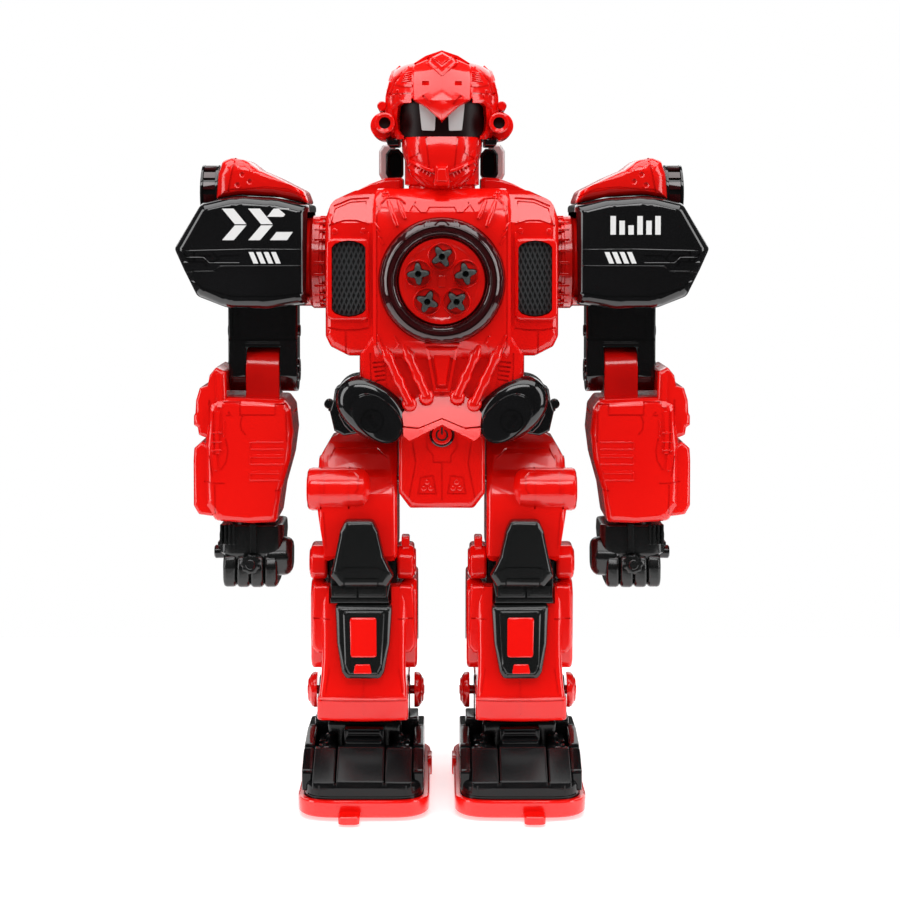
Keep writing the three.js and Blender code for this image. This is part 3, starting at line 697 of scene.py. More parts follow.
def make_helmet(body):
    """The helmet with its window opening, seams, temple ribs, rivets and the vents behind the ears."""
    lo, hi = span("helmet_shell")
    half = hi.x
    shell = Shape()
    shell.rings(
        dome(
            [
                (lo.z, half - 3.4, -39.5, 24),
                (lo.z + 7, half - 1.4, -42, 28),
                (lo.z + 18, half - 0.2, -43.5, 30),
                (lo.z + 28, half - 1.0, -40, 28),
                (lo.z + 35, half - 3.6, -33, 22),
                (lo.z + 39.5, half - 10.0, -24, 12),
                (lo.z + 42.0, half - 20, -12, 1),
            ]
        )
    )
    tree = shell.tree()
    cut = Shape()
    window = rounded(both([(0, 364), (15, 364), (22.4, 361.4), (24.0, 353), (23.4, 346.6), (21.6, 344.3)]),
                     1.6)
    cut.pillow(window, [(-70, 0), (-36, 0), (-30, 2)])
    cut.box((-19.6, 19.6), (-70, 7), (330, 345.4), bevel=0)
    shell.carve(cut)
    lines = Shape()
    for g in BOTH_WAYS:
        grooves(lines, tree, on_side(g, [
            (0.7, 0.7, [(25, 345), (26.6, 366), (24.5, 373), (17, 381.5)]),
            (0.6, 0.5, [(15.6, 366.5), (26, 366.5)]),
        ]))
    grooves(lines, tree, [
        (0.8, 0.6, [(-30, 366), (-12, 371), (6, 371), (22, 364)]),
        (0.8, 0.6, [(-12, 371), (-8, 352), (14, 350), (24, 356)]),
    ], ("right", "left"))
    grooves(lines, tree, [
        (0.8, 0.6, [(-9, 350), (-9, 372), (-9 * 0.6, 380)]),
        (0.8, 0.6, [(9, 350), (9, 372), (9 * 0.6, 380)]),
        (0.8, 0.6, [(-24, 352), (24, 352)]),
    ], ("back",))
    shell.carve(lines)
    for g in BOTH_WAYS:
        for k in range(5):
            z = 373.4 + 1.15 * k
            rib(shell, tree, [(g * 15.5, z), (g * (21.2 - 0.5 * k), z - 0.5)], 0.7, 0.8)
        ribs(shell, tree, on_side(g, [
            (1.8, 1.9, [(21.8, 383.0), (25.4, 379.4), (27.0, 374.0)]),
            (1.5, 0.9, [(15.2, 370.6), (20.6, 370.9), (24, 372.2)]),
            (2.0, 1.4, [(15.6, 362.6), (21.5, 362.4), (25.2, 359.0), (25.6, 347)]),
            (1.6, 1.1, [(26.6, 373.4), (28.6, 366), (28.9, 352)]),
        ]))
        for x, z in ((22.8, 368), (24.6, 365.8), (21.2, 365.6)):
            rivet(shell, tree, g * x, z, [(0.95, 1), (0.95, -0.35), (0.5, -0.6)], 12)
    for side in ("right", "left"):
        for y in (4, 9, 14, 19):
            rib(shell, tree, [(y, 355), (y + 2, 365)], 1.8, 0.8, side=side)
    piece("helmet", shell, body, ["helmet_shell"])


def make_crest(body):
    """The crest: a ridged shield down the brow, with a sunk chevron at its top."""
    top = span("helmet_crest")[1].z
    edge, depth = 14.7, 5.0
    crest = Shape()
    # Down the brow: height and depth of the ridge, height and depth of the rim, and the half width.
    sections = [
        (top - 0.6, -22.0, top - 7.2, -20.0, edge),
        (top - 2.8, -31.0, top - 8.6, -28.5, edge + 0.1),
        (379.5, -39.0, 377.2, -35.6, edge + 0.2),
        (370.6, -45.0, 370, -41.0, edge + 0.2),
        (362.5, -48.2, 363.2, -44.6, edge),
        (357, -49.4, 359.6, -45.6, 8.4),
        (352.9, -50.2, 352.6, -49.0, 0.6),
    ]
    rings = []
    for zm, ym, zs, ys, w in sections:
        rim = [(w - 0.8, ys, zs + 0.05), (w, ys + 0.7, zs), (w, ys + depth, zs - 0.4)]
        left_rim = [(-x, y, z) for x, y, z in reversed(rim)]
        rings.append([*left_rim, (0, ym, zm), *rim, (0, ym + depth, zm - 1.5)])
    crest.rings(rings)
    cap = [(-8.6, top - 3.0), (0, top), (8.6, top - 3.0), (edge, top - 7.0), (0, top - 9),
           (-edge, top - 7.0)]
    crest.rings([[(x, y, z) for x, z in shrunk(cap, d)] for y, d in ((-23, 0.2), (-6, 0), (4, 2.0))])
    tree = crest.tree()
    cut = Shape()
    grooves(cut, tree, [
        (1.3, 0.8, [(-7.4, 385.8), (0, 378.8), (7.4, 385.8)]),
        (1.6, 0.8, [(-10.2, 371.6), (-6.6, 371.6)]),
        (1.6, 0.8, [(10.2, 371.6), (6.6, 371.6)]),
        (0.7, 0.6, [(-9.8, 365.2), (-5.6, 360.4)]),
        (0.7, 0.6, [(9.8, 365.2), (5.6, 360.4)]),
    ])
    crest.carve(cut)
    ribs(crest, tree, [
        (1.0, 0.8, [(-9.6, 384.2), (0, 375.6), (9.6, 384.2)]),
        (0.8, 0.6, [(-5.6, 386.6), (0, 381.6), (5.6, 386.6)]),
    ])
    piece("crest", crest, body, ["helmet_crest"])


def make_visor(body):
    """The smoked window, and the silver eyes that follow its curve, a hair in front of it."""
    lo, hi = span("visor")
    square, hair, wall = 2.6, 0.5, 2
    rows = [(z, 25.2, -40.4 - (z - lo.z) * 0.05, 18) for z in (lo.z - 0.6, lo.z + 3, hi.z - 4, hi.z + 1.6)]
    inner = [(z, h - wall, f + wall, b - wall) for z, h, f, b in rows]
    for end, way in ((0, -1), (-1, 1)):
        inner[end] = (inner[end][0] + 4 * way, *inner[end][1:])
    visor = Shape().rings(dome(rows, 6, 48, square))
    hollow = Shape().rings(dome(inner, 6, 48, square))
    hollow.box((-40, 40), (-12, 40), (330, 370), bevel=0)
    visor.carve(hollow)
    piece("visor_window", visor, body, ["visor"], slot="smoked_red", look=SMOKED_WINDOW)
    eyes = Shape().rings(dome([(z, h + hair, f - hair, b) for z, h, f, b in rows], 6, 96, square))
    outlines = Shape()
    for g in BOTH_WAYS:
        eye = [(g * 11.8, 362), (g * 10.3, 347.6), (g * 3.6, 347.4), (g * 3.2, 357)][::g]
        outlines.prism(rounded(eye, 0.8), -60, -30)
    eyes.carve(outlines, "INTERSECT")
    piece("eyes", eyes, body, ["eye_reflector"], slot="silver_plastic")


def make_mask(body):
    """The face mask with its ridges, the chin and the neck."""
    widest = span("face_mask")[1].x
    wide = widest - 0.3
    neck_y = joint_at("head_turn").y
    mask = Shape()
    mask.rings(
        dome(
            [
                (315.4, 5, -33, 6),
                (318.2, 9.5, -39.5, 8),
                (324.0, 15.8, -43.0, 11),
                (330.0, wide - 2.4, -45.0, 12),
                (338.0, wide, -45.4, 12),
                (344.3, wide, -43.6, 12),
            ],
            14,
            56,
            2.9,
        )
    )
    tree = mask.tree()
    cut = Shape()
    for g in BOTH_WAYS:
        grooves(cut, tree, on_side(g, [
            (0.55, 0.5, [(8.1, 344), (6.5, 328.5)]),
            (0.5, 0.4, [(12.4, 344), (11.5, 336), (16.5, 333.4)]),
            (0.5, 0.4, [(19.0, 344), (17.6, 327)]),
        ]))
    mask.carve(cut)
    for g in BOTH_WAYS:
        ridge = [(g * 17.2, 332.4), (g * 13.0, 330.2), (g * 8.5, 327.9), (g * 4.0, 326.4)]
        strip(mask, tree, ridge, 1.5, 2.3, 1.5, bevel=0.4)
        cheek = [(g * 16.8, 330.4), (g * 12.6, 327.6), (g * 8.2, 324.8), (g * 3.8, 322.6)]
        strip(mask, tree, cheek, 4.0, 1.5, 1.5, bevel=0.6)
        for k in range(6):
            x = 6.5 + 1.6 * k
            z = 323.8 + 0.62 * (x - 6.5)
            strip(mask, tree, [(g * x, z), (g * (x - 0.7), z + 1.7)], 0.5, 1.9, 0.5)
    chin = [(-3.3, 329.2), (3.3, 329.2), (4.1, 319.0), (-4.1, 319.0)]
    mask.pillow(rounded(chin, 0.7), [(-49.6, 0.8), (-48.8, 0.1), (-40, 0)])
    chin_panel = [(-2.1, 327.8), (2.1, 327.8), (2.8, 321.4), (-2.8, 321.4)]
    mask.pillow(rounded(chin_panel, 0.5), [(-50.2, 0.4), (-49.9, 0), (-47, 0)])
    neck = [(0, 300), (widest - 3.8, 300), (17.6, 319.6), (19.6, 320.4), (19.6, 343)]
    mask.turned(neck, "z", (0, neck_y, 0))
    for g in BOTH_WAYS:
        mask.box(sorted((g * 3.2, g * 7.6)), (-25.6, -22), (316.4, 319.4), bevel=0.5)
    piece("mask", mask, body, ["face_mask"])


def make_ear_pods(body):
    """Tubes that look forward out of round housings, with a small lamp above each and a block below; a
    near-black disc inside each tube is painted shade in the hole.
    """
    pod = Shape()
    x, z = -29.3, 351.4
    pod.turned([(3.0, -41.0), (4.5, -41.6), (5.2, -41.0), (5.3, -38), (5.0, -37.4), (5.0, 9), (3, 10),
                (3, -36)],
               "y", (x, 0, z), closed=True)
    pod.turned([(0, -22), (6.2, -22), (7.0, -21), (7.0, 7), (6.0, 8), (0, 8)], "y", (x - 1.0, 0, z - 0.6))
    pod.turned([(0, -16), (7.6, -15), (8.0, -12), (8.0, 0), (7.2, 2), (0, 2)], "y", (x, 0, z - 0.4),
               count=36)
    pod.turned([(0, -24), (1.9, -24), (2.5, -23), (2.5, 3), (0, 4)], "y", (x - 1.9, 0, z + 9.6), count=20)
    pod.tower([(z + 3, x - 2.4, x + 2, -18, 0, 1), (z + 10, x - 1.6, x + 2, -16, -2, 1)])
    # A near-black disc a little way into each tube: painted shade in the hole.
    dark = Shape().rod(3.05, -37, -36, "y", (x, 0, z), count=20)
    pair("ear_tube", pod, body, ["ear_pod"])
    pair("ear_hole_painted_shade", dark, body, look=SHADE_AND_PRINT_BLACK, slot="black_plastic")
    cuff = Shape()
    cuff.cushion(rounded([(-29.5, 344.2), (-21.8, 344.2), (-21.8, 340.2), (-28, 340.2)], 1), -28, 6, 1)
    pair("ear_block", cuff, body, slot="black_plastic")


def make_head():
    """All that turns with the neck."""
    body = body_of["helmet_shell"]
    for make in (make_helmet, make_crest, make_visor, make_mask, make_ear_pods):
        make(body)


make_head()


# ---------------------------------------------------------------- torso


DARTS = range(1, 6)
CHEST_FRONT = -44


def follow(tree, path, lift, step=3.0):
    """Points along a path that lie on the front of a surface, lifted off it."""
    out = []
    y = CHEST_FRONT
    for (x0, z0), (x1, z1) in zip(path, path[1:]):
        count = max(1, round(math.dist((x0, z0), (x1, z1)) / step))
        for k in range(count + (path[-1] == (x1, z1))):
            x, z = x0 + (x1 - x0) * k / count, z0 + (z1 - z0) * k / count
            y = surface_at(tree, "front", x, z) or y
            out.append((x, y - lift, z))
    return out


def chest_blocks(half, top, front, back):
    """The outer form of the torso: chest, belly, shoulder blocks, hips and collar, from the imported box."""
    body = Shape()
    body.tower(
        [
            (229, -34.0, 34.0, front + 7, back - 4, 3),
            (234, -35.0, 35.0, front + 2.4, back - 1, 3.5),
            (240, -35.6, 35.6, front + 0.4, back, 4),
            (298, -35.6, 35.6, front + 0.2, back, 4),
            (306, -35.6, 35.6, front + 1.6, back, 4),
            (312, -35.2, 35.2, front + 5.0, back - 1, 4),
            (316, -34.4, 34.4, front + 9.5, back - 3, 4),
            (top, -33.0, 33.0, front + 14, back - 6, 4),
        ]
    )
    waist = 42.5
    body.tower(
        [
            (200, -21, 21, front + 12, back - 6, 3),
            (204, -27, 27, front + 8.4, back - 4, 4),
            (212, -36, 36, front + 6.4, back - 3, 5),
            (220, -waist, waist, front + 5.6, back - 2, 6),
            (233, -waist, waist, front + 5.4, back - 1, 6),
            (238, -waist + 3, waist - 3, front + 5.4, back - 1, 6),
            (246, -35, 35, front + 6, back - 1, 6),
        ]
    )
    side = rounded(
        [
            (-28, top - 0.6, 1), (-44.5, top - 1.0, 6), (-56.8, top - 6.6, 7), (-half, top - 16, 6),
            (-half, 242, 4), (-57.4, 236.6, 3), (-48, 231.8, 4), (-28, 231.8, 1),
        ],
        steps=5,
    )
    block = Shape().cushion(side, -42.5, back - 2, 4.5, steps=4)
    sloped_front = [(-60, 300), (-42.6, 300), (-37.2, 315), (-37.2, 330), (-60, 330)]
    block.carve(Shape().prism(sloped_front, -70, -20, plane="yz"))
    body.add(block.doubled())
    hips = [(22.4, 206), (22.4, 160, 3), (16.5, 152.2, 2)]
    body.cushion(rounded(both(hips), 1), front + 13, back - 6, 3, steps=3)
    collar = Shape().tower([(top - 3, -38, -20.5, 17.5, 36, 4), (top + 3, -37.5, -21, 18, 35.6, 4)],
                           crown=1.6)
    slope = [(-20.6, top - 3), (-20.6, top + 6.4), (-30, top + 6), (-38, top + 3), (-47, top - 1.6),
             (-47, top - 5)]
    collar.cushion(rounded(slope, 1.2), -5, 33, 2.2, steps=3)
    body.add(collar.doubled())
    return body.merged()


def apron():
    """The two V-shaped plates above the power button, which lean back as they rise."""
    slope, foot, root = 0.375, -42.4, -30
    plate = Shape()
    upper = [(0, 210.8), (-6.2, 214.5), (-15, 209), (-20.5, 202.4), (-19.6, 196.4), (-11.9, 195.6),
             (0, 200.4)]
    lower = [(0, 199.6), (-12.2, 194.7), (-19.9, 195.4), (-19.4, 191.2), (-16.6, 188.9), (0, 197.0)]
    for half, out in ((upper, 0.5), (lower, 0.0)):
        outline = both(half)
        front = [(x, foot - (212 - z) * slope - out, z) for x, z in outline]
        edge = [(x, y + 0.7, z) for (x, z), (_, y, _) in zip(inset(outline, -0.35), front)]
        plate.rings([front, edge, [(x, root, z) for x, _, z in edge]])
    return plate


def engrave_front(cut, tree):
    """The panel lines of the chest, the shoulder panels, the belly and the pelvis, with the belly's vents."""
    for g in BOTH_WAYS:
        grooves(cut, tree, on_side(g, [
            (0.7, 0.5, [(37.4, 313.0), (47, 312.4), (55.6, 308.8)]),
            (0.7, 0.5, [(37.4, 299.4), (44, 301.4), (50, 301.4), (58, 298.8)]),
            (0.45, 0.35, [(39, 298.6), (39, 311.4), (47, 310.8), (54.6, 307.6),
                          (57, 299.2)]),
            (0.8, 0.6, [(37.4, 246.2), (44, 245.2), (52, 245.2), (60, 246.6)]),
            (0.7, 0.6, [(49.4, 244.8), (49.4, 232.6)]),
            (0.55, 0.45, [(33.2, 309), (33.2, 237), (29.4, 231), (28.2, 216)]),
            *((0.7, 0.7, [(28.8, 229.1 - 2.3 * k), (35.6 - 0.4 * k, 228.4 - 2.3 * k)]) for k in range(5)),
            (0.55, 0.5, [(36.8, 233.5), (36.4, 217.5)]),
            (0.5, 0.4, [(14.6, 309.6), (10.6, 305.4), (7.8, 305.4), (6.4, 308.2),
                        (0, 308.2)]),
            (0.5, 0.4, [(13.4, 311), (16.6, 305.8)]),
            (0.55, 0.45, [(3.0, 160), (4.6, 169.4), (11.0, 168.4), (12.4, 160)], CLOSED),
            (0.5, 0.45, [(15.2, 187), (13.6, 176), (17.0, 158)]),
            (0.5, 0.45, [(7.8, 190), (7.8, 184), (4.6, 180), (4.6, 176.4), (0, 176.4)]),
        ]))
    groove(cut, tree, [(0, 176.0), (0, 156.6)], 0.5, 0.4)


def engrave_sides(cut, tree):
    """Panel lines and slots in the sides of the shoulder blocks and of the waist."""
    grooves(cut, tree, [
        (0.8, 0.6, [(-36, 310), (-36, 240), (30, 240), (30, 310)], CLOSED),
        (0.8, 0.6, [(-33, 226), (32, 226)]),
        *((1.1, 0.8, [(-18, 247 + 3 * k), (20, 247 + 3 * k)]) for k in range(4)),
    ], ("right", "left"))


def engrave_back(cut, tree):
    """The back's panel lines, a vent over the battery door and slots in the shoulder blocks."""
    edge = span("battery_door")[1].x + 6.4
    grooves(cut, tree, [
        (0.8, 0.6, [(-edge, 220), (edge, 220), (edge, 304), (-edge, 304)], CLOSED),
        *((1.0, 1.0, [(-13, 294.4 + 2.3 * k), (13, 294.4 + 2.3 * k)]) for k in range(7)),
    ], ("back",))
    for g in BOTH_WAYS:
        grooves(cut, tree, on_side(g, [
            *((1.2, 0.8, [(42, 300 - 5 * k), (54, 303 - 5 * k)]) for k in range(5)),
            (0.7, 0.5, [(40, 270), (56, 270), (56, 242), (40, 240)], CLOSED),
            (0.7, 0.5, [(8, 196), (16, 190), (16, 165), (8, 160)]),
        ]), ("back",))


def add_shoulder_trim(body, tree, g):
    """What is raised on one shoulder: screws, two short pipes, an arch, a ring of beads and three ribs."""
    for x, z in ((55.0, 296.0), (40.2, 296.2)):
        screw(body, tree, g * x, z, 1.5)
    for x, z in ((55, 308), (55, 238), (17, 200)):
        screw(body, tree, g * x, z, 2.0, side="back")
    for path, r in (([(27.4, 311.4), (22.8, 298.6)], 1.35), ([(22.4, 311.6), (18.6, 302.4)], 1.25)):
        points = follow(tree, [(g * x, z) for x, z in path], 0.5)
        body.pipe(points, [r * 0.7] + [r] * (len(points) - 2) + [r * 0.7])
    arch = [(32.0, 306.5), (31.4, 310.4), (28.6, 312.9), (25.4, 313.3), (21.4, 312.6), (18.6, 310.4)]
    rib(body, tree, [(g * x, z) for x, z in arch], 1.0, 1.0)
    for x, z in circle(g * 28.6, 314.2, 1.6, around(6)):
        body.ball((x, (surface_at(tree, "front", x, z) or -38) - 0.1, z), 0.8)
    for k in range(3):
        x, z = 0.9 * k, 3.6 * k
        rib(body, tree, [(g * (34.2 - x), 300.6 - z), (g * (31.6 - x), 296.4 - z)], 0.8, 0.6)


def add_belly_pipes(body, g):
    """Two pipes on one side of the belly, which run down and inwards from knuckles to round ends."""
    radius, flare, quarter = 2.35, 1.28, 4
    outer = [(30.4, 238.6), (27.2, 231), (22.0, 219.5), (16.7, 208.0)]
    inner = [(19.2, 238.2), (16.6, 231.5), (12.2, 221.4), (8.0, 211.8)]
    for path in (outer, inner):
        points = [(g * x, -46.6 - 0.7 * math.sin(math.pi * i / 3), z) for i, (x, z) in enumerate(path)]
        fine = []
        for p, q in zip(points, points[1:]):
            fine += [tuple(Vector(p).lerp(Vector(q), k / quarter)) for k in range(quarter)]
        fine.append(points[-1])
        radii = [radius * (flare if i in (3, 4, 8) else 1.0) for i in range(len(fine))]
        body.pipe(fine, radii, sides=14)
        body.ball((g * path[-1][0], -45.8, path[-1][1] - 0.6), 3.9, squash=(1, 0.62, 1))
    for x, z, r in ((19.9, 240.2, 3.7), (30.9, 239.6, 2.0)):
        body.ball((g * x, -46.2, z), r, squash=(1.15, 0.7, 0.8))


def torso_details(body, cut):
    """The torso's blocks with their openings, engraved lines and raised trim."""
    tree = body.tree()
    for engrave in (engrave_front, engrave_sides, engrave_back):
        engrave(cut, tree)
    body.carve(cut)
    for g in BOTH_WAYS:
        add_shoulder_trim(body, tree, g)
        add_belly_pipes(body, g)
        for x, z in ((5.8, 162.8), (9.4, 162.8), (7.6, 166.0)):
            rivet(body, tree, g * x, z, [(1.25, 1), (1.25, -0.5), (0.7, -0.8)], 14, fallback=-36)
        ribs(body, tree, on_side(g, [
            (1.0, 0.9, [(33, 243), (30.5, 236.4), (27.2, 233.2)]),
            (0.9, 0.8, [(24.6, 242.4), (22.2, 238.6), (24.4, 235.4)]),
            (0.9, 0.7, [(37.6, 295.4), (37.6, 247.6)]),
        ]))
    trapezoid = [(-7.4, 235.8), (7.4, 235.8), (3.6, 214.4), (-3.6, 214.4)]
    rib(body, tree, trapezoid, 1.5, 1.5, closed=True)
    inlay = rounded([(-4.6, 233.4), (4.6, 233.4), (2.0, 217), (-2.0, 217)], 0.4)
    body.pillow(inlay, [(-46.3, 0.7), (-45.6, 0), (-43, 0)])
    rib(body, tree, [(-9.2, 238.4), (9.2, 238.4)], 0.9, 0.7)
    return body


def grille_outline(grown_across=0.0, grown_up=0.0):
    """The right speaker's upright opening, whose top and bottom bow outwards."""
    lo, hi = span("speaker_grille_right")
    cx, _, cz = middle_of("speaker_grille_right")
    w, h, bulge = (hi.x - lo.x) / 2 + grown_across, (hi.z - lo.z) / 2 + grown_up, 2.6
    shoulder = h - bulge * 1.4
    top = [(w * t, h - bulge * t * t) for t in (-0.8, -0.4, 0, 0.4, 0.8)]
    low = [(x, -z) for x, z in reversed(top)]
    outline = [(-w, shoulder), *top, (w, shoulder), (w, -shoulder), *low, (-w, -shoulder)]
    return rounded([(cx + x, cz + z) for x, z in outline], 1.4)


def fin_star(dart, out):
    """The four-finned outline of a dart's tail, grown outwards by a distance."""
    x, _, z = middle_of(f"dart_{dart}")
    core, fin, turn = 2.75, 2.85, (2 * dart - 1) * 0.55
    star = []
    for a in around(48):
        star += circle(x, z, core + fin * abs(math.cos(2 * a)) ** 2.6 + out, [a + turn])
    return star


def bore_axis(dart):
    """A point on the line that a dart slides along."""
    x, _, z = middle_of(f"dart_{dart}")
    return (x, 0, z)


def launcher_centre():
    """The middle and the outer radius of the launcher's ring."""
    lo, hi = span("launcher_ring")
    return (0, 0, (lo.z + hi.z) / 2), (hi.z - lo.z) / 2


def torso_openings(front, back, window):
    """All that is cut out of the torso for the pieces set into it."""
    cut = Shape()
    cut.add(Shape().add(window).doubled())
    centre, ring_r = launcher_centre()
    cut.rod(ring_r + 0.5, -80, front + 3.2, "y", centre, count=72)
    for dart in DARTS:
        cut.rod(6.8, -60, -8, "y", bore_axis(dart))
    recess = [(0, -60), (5.8, -60), (5.8, -34.2), (7.4, -34.2), (7.4, -27), (0, -27)]
    cut.turned(recess, "y", (0, 0, middle_of("power_button")[2]))
    cut.rod(18.4, 300, 340, "z", (0, joint_at("head_turn").y, 0), count=48)
    shaft = joint_at("shoulder_right")
    for g in BOTH_WAYS:
        cut.rod(8.6, g * 51.5, g * 70, "x", (0, shaft.y, shaft.z), count=32)
    cut.rod(1.2, -60, -43, "y", (0, 0, 212.6), count=16)
    lo, hi = span("battery_door")
    cut.box((lo.x - 0.4, hi.x + 0.4), (back - 2.8, back + 9), (lo.z - 0.4, hi.z + 0.4), bevel=0)
    return cut


def make_shell(body):
    """The torso's two moulded halves, with the plates over the waist and the frames of the grilles."""
    lo, hi = span("torso_front_shell")
    half, top, front, back = hi.x, hi.z, lo.y, span("torso_back_shell")[1].y
    window = Shape().prism(grille_outline(0.1, 0.4), -60, -41.2)
    cut = torso_openings(front, back, window)
    shell = torso_details(chest_blocks(half, top, front, back), cut)
    shell.add(apron())
    x, _, z = middle_of("speaker_grille_right")
    left, right, above, below = x - 11.6, x + 10.4, z + 20.6, z - 21.2
    outline = rounded([(left, above, 4), (right, above, 3), (right, below, 3), (left, below, 4)])
    bezel = Shape().cushion(outline, -45.2, -36, 1.3, steps=3)
    bezel.carve(window)
    shell.add(bezel.doubled())
    front_half, back_half = shell.half(-1), shell.half(1)
    piece("torso_front", front_half, body, ["torso_front_shell"])
    piece("torso_back", back_half, body, ["torso_back_shell"])


def make_power_button(body):
    """The button with its mark, a broken ring and a bar, in a black surround."""
    lo, hi = span("power_button")
    z = middle_of("power_button")[2]
    at, rider = (0, 0, z), body_of["power_button"]
    knob, mark, surround = Shape(), Shape(), Shape()
    knob.turned([(0, lo.y + 0.1), (4.4, lo.y), (5.0, lo.y + 0.3), (5.3, lo.y + 0.9), (5.3, hi.y - 2.2),
                 (7.0, hi.y - 2.0), (7.0, hi.y), (0, hi.y)], "y", at)
    ring = circle(0, z, 2.9, [math.radians(122 + 37 * k) for k in range(9)])
    strip(mark, knob.tree(), ring, 0.8, 0.14, 0.4)
    strip(mark, knob.tree(), [(0, z + 0.2), (0, z + 3.9)], 0.9, 0.14, 0.4)
    lip = [(5.45, -37.8), (5.8, -38.2), (6.4, -38.0), (6.6, -37.2), (6.6, -36.6), (5.45, -36.6)]
    surround.turned(lip, "y", at, closed=True)
    piece("power_cap", knob, rider, ["power_button"])
    piece("power_mark", mark, rider, look=SHADE_AND_PRINT_BLACK, slot="black_plastic")
    piece("power_surround", surround, body, slot="black_plastic")


def make_grilles(body):
    """A near-black plate on each side, painted shade behind the bars, with a lattice of slanted bars, one
    direction over the other; the bars' black is lifted to a dark grey, a painted sheen.
    """
    cx, _, cz = middle_of("speaker_grille_right")
    lo, hi = span("speaker_grille_right")
    reach, pitch, slant, root = (hi.z - lo.z) / 2 * 1.5, 2.45, 0.42, -41.3
    plate = Shape().prism(grille_outline(), -41.6, -40.9)
    bars = Shape()
    for slope, half_width, high in ((-1, 0.34, -42.25), (1, 0.42, -42.5)):
        for k in range(-14, 15):
            x = cx + pitch * k
            a = Vector((x - slope * reach * slant, cz - reach))
            b = Vector((x + slope * reach * slant, cz + reach))
            across = Vector((b.y - a.y, a.x - b.x)).normalized() * half_width
            corners = [a + across, b + across, b - across, a - across]
            bars.rings([[(p.x, y, p.y) for p in corners] for y in (high, root)])
    bars.carve(Shape().prism(grille_outline(-0.1, -0.1), -44, -41.4), "INTERSECT")
    # The plate is painted shade behind the lattice, and the lattice's lighter grey is painted sheen.
    sides = (("right", plate, bars), ("left", plate.mirrored(), bars.mirrored()))
    for side, back, lattice in sides:
        piece(f"grille_painted_shade_plate_{side}", back, body, look=SHADE_AND_PRINT_BLACK, slot="grille_black")
        piece(f"grille_lattice_{side}", lattice, body, [f"speaker_grille_{side}"], slot="grille_black")


def make_launcher(body):
    """The smoked ring with its raised marks, and the red face with its bores and the tubes behind it."""
    front = span("torso_front_shell")[0].y
    centre, ring_r = launcher_centre()
    z = centre[2]
    ring = Shape()
    profile = [
        (ring_r, front + 2), (ring_r, -51.5), (ring_r - 0.7, -54.3), (ring_r - 2.6, -56.3),
        (ring_r - 3.5, -56.7),
        (28.1, -56.95), (27.9, -56.3), (27.4, -56.3), (27.2, -57.0), (25.6, -56.8), (25.3, -56.3),
        (24.9, -56.3),
        (24.6, -56.5), (23.4, -55.6), (22.6, -54.2), (22.5, front + 2),
    ]
    ring.turned(profile, "y", centre, count=112, closed=True)
    tree = ring.tree()
    for g in BOTH_WAYS:
        for k in range(3):
            x = g * (6.4 + 1.3 * k)
            strip(ring, tree, [(x, z + 28.0), (x, z + 30.6 - 0.2 * k)], 0.5, 0.35, 0.4)
            strip(ring, tree, [(x, z - 24.6), (x, z - 26.6)], 0.45, 0.25, 0.4)
    strip(ring, tree, [(-3.6, z + 28.6), (-1.2, z + 30.4), (1.2, z + 30.4), (3.6, z + 28.6)], 0.9, 0.4, 0.4)
    strip(ring, tree, [(-1.6, z + 28.2), (1.6, z + 28.2)], 0.7, 0.4, 0.4)
    piece("launcher_ring_piece", ring, body, ["launcher_ring"], slot="smoked_red")

    face, bores = Shape(), Shape()
    dish = [(0, -53.0), (17.8, -53.0), (18.8, -53.5), (20.6, -54.2), (21.8, -54.0), (22.1, -53.2),
            (22.1, -48), (0, -48)]
    face.turned(dish, "y", centre, count=96)
    face.box((-2.2, 2.2), (-53.9, -50), (z - 3, z + 3), bevel=0.7)
    collar = [(6.2, -50), (6.3, -53.8), (6.8, -54.1), (7.2, -53.6), (7.3, -50)]
    tube = [(6.2, -50), (6.7, -50), (6.7, -8), (6.2, -8)]
    for dart in DARTS:
        at = bore_axis(dart)
        face.turned(collar, "y", at, count=36, closed=True)
        face.turned(tube, "y", at, count=24, closed=True)
        bores.prism(fin_star(dart, 0.45), -60, -4)
    face.carve(bores)
    piece("launcher_disc", face, body, ["launcher_face"])


def make_darts():
    """Soft darts with four-finned tails that look out of the launcher, each on its own body."""
    for dart in DARTS:
        name = f"dart_{dart}"
        lo, hi = span(name)
        tip, end, tail_end = lo.y, hi.y, lo.y + 14.5
        at = bore_axis(dart)
        levels = ((tip + 0.1, 1.1), (tip + 0.6, 0.4), (tip + 1.6, 0.0), (tail_end - 1.5, 0.3),
                  (tail_end, 1.3))
        tail = Shape().rings([[(x, y, z) for x, z in fin_star(dart, -d)] for y, d in levels])
        tail.turned([(0, tip + 14), (2.75, tip + 14), (2.75, end - 0.6), (2.3, end), (0, end)], "y", at,
                    count=20)
        tail.carve(Shape().turned([(0, tip - 2), (1.9, tip - 2), (1.4, tip + 3.5), (0, tip + 4)], "y", at,
                                  count=20))
        piece(f"{name}_foam", tail, body_of[name], [name], slot="dart_rubber", smooth=50)


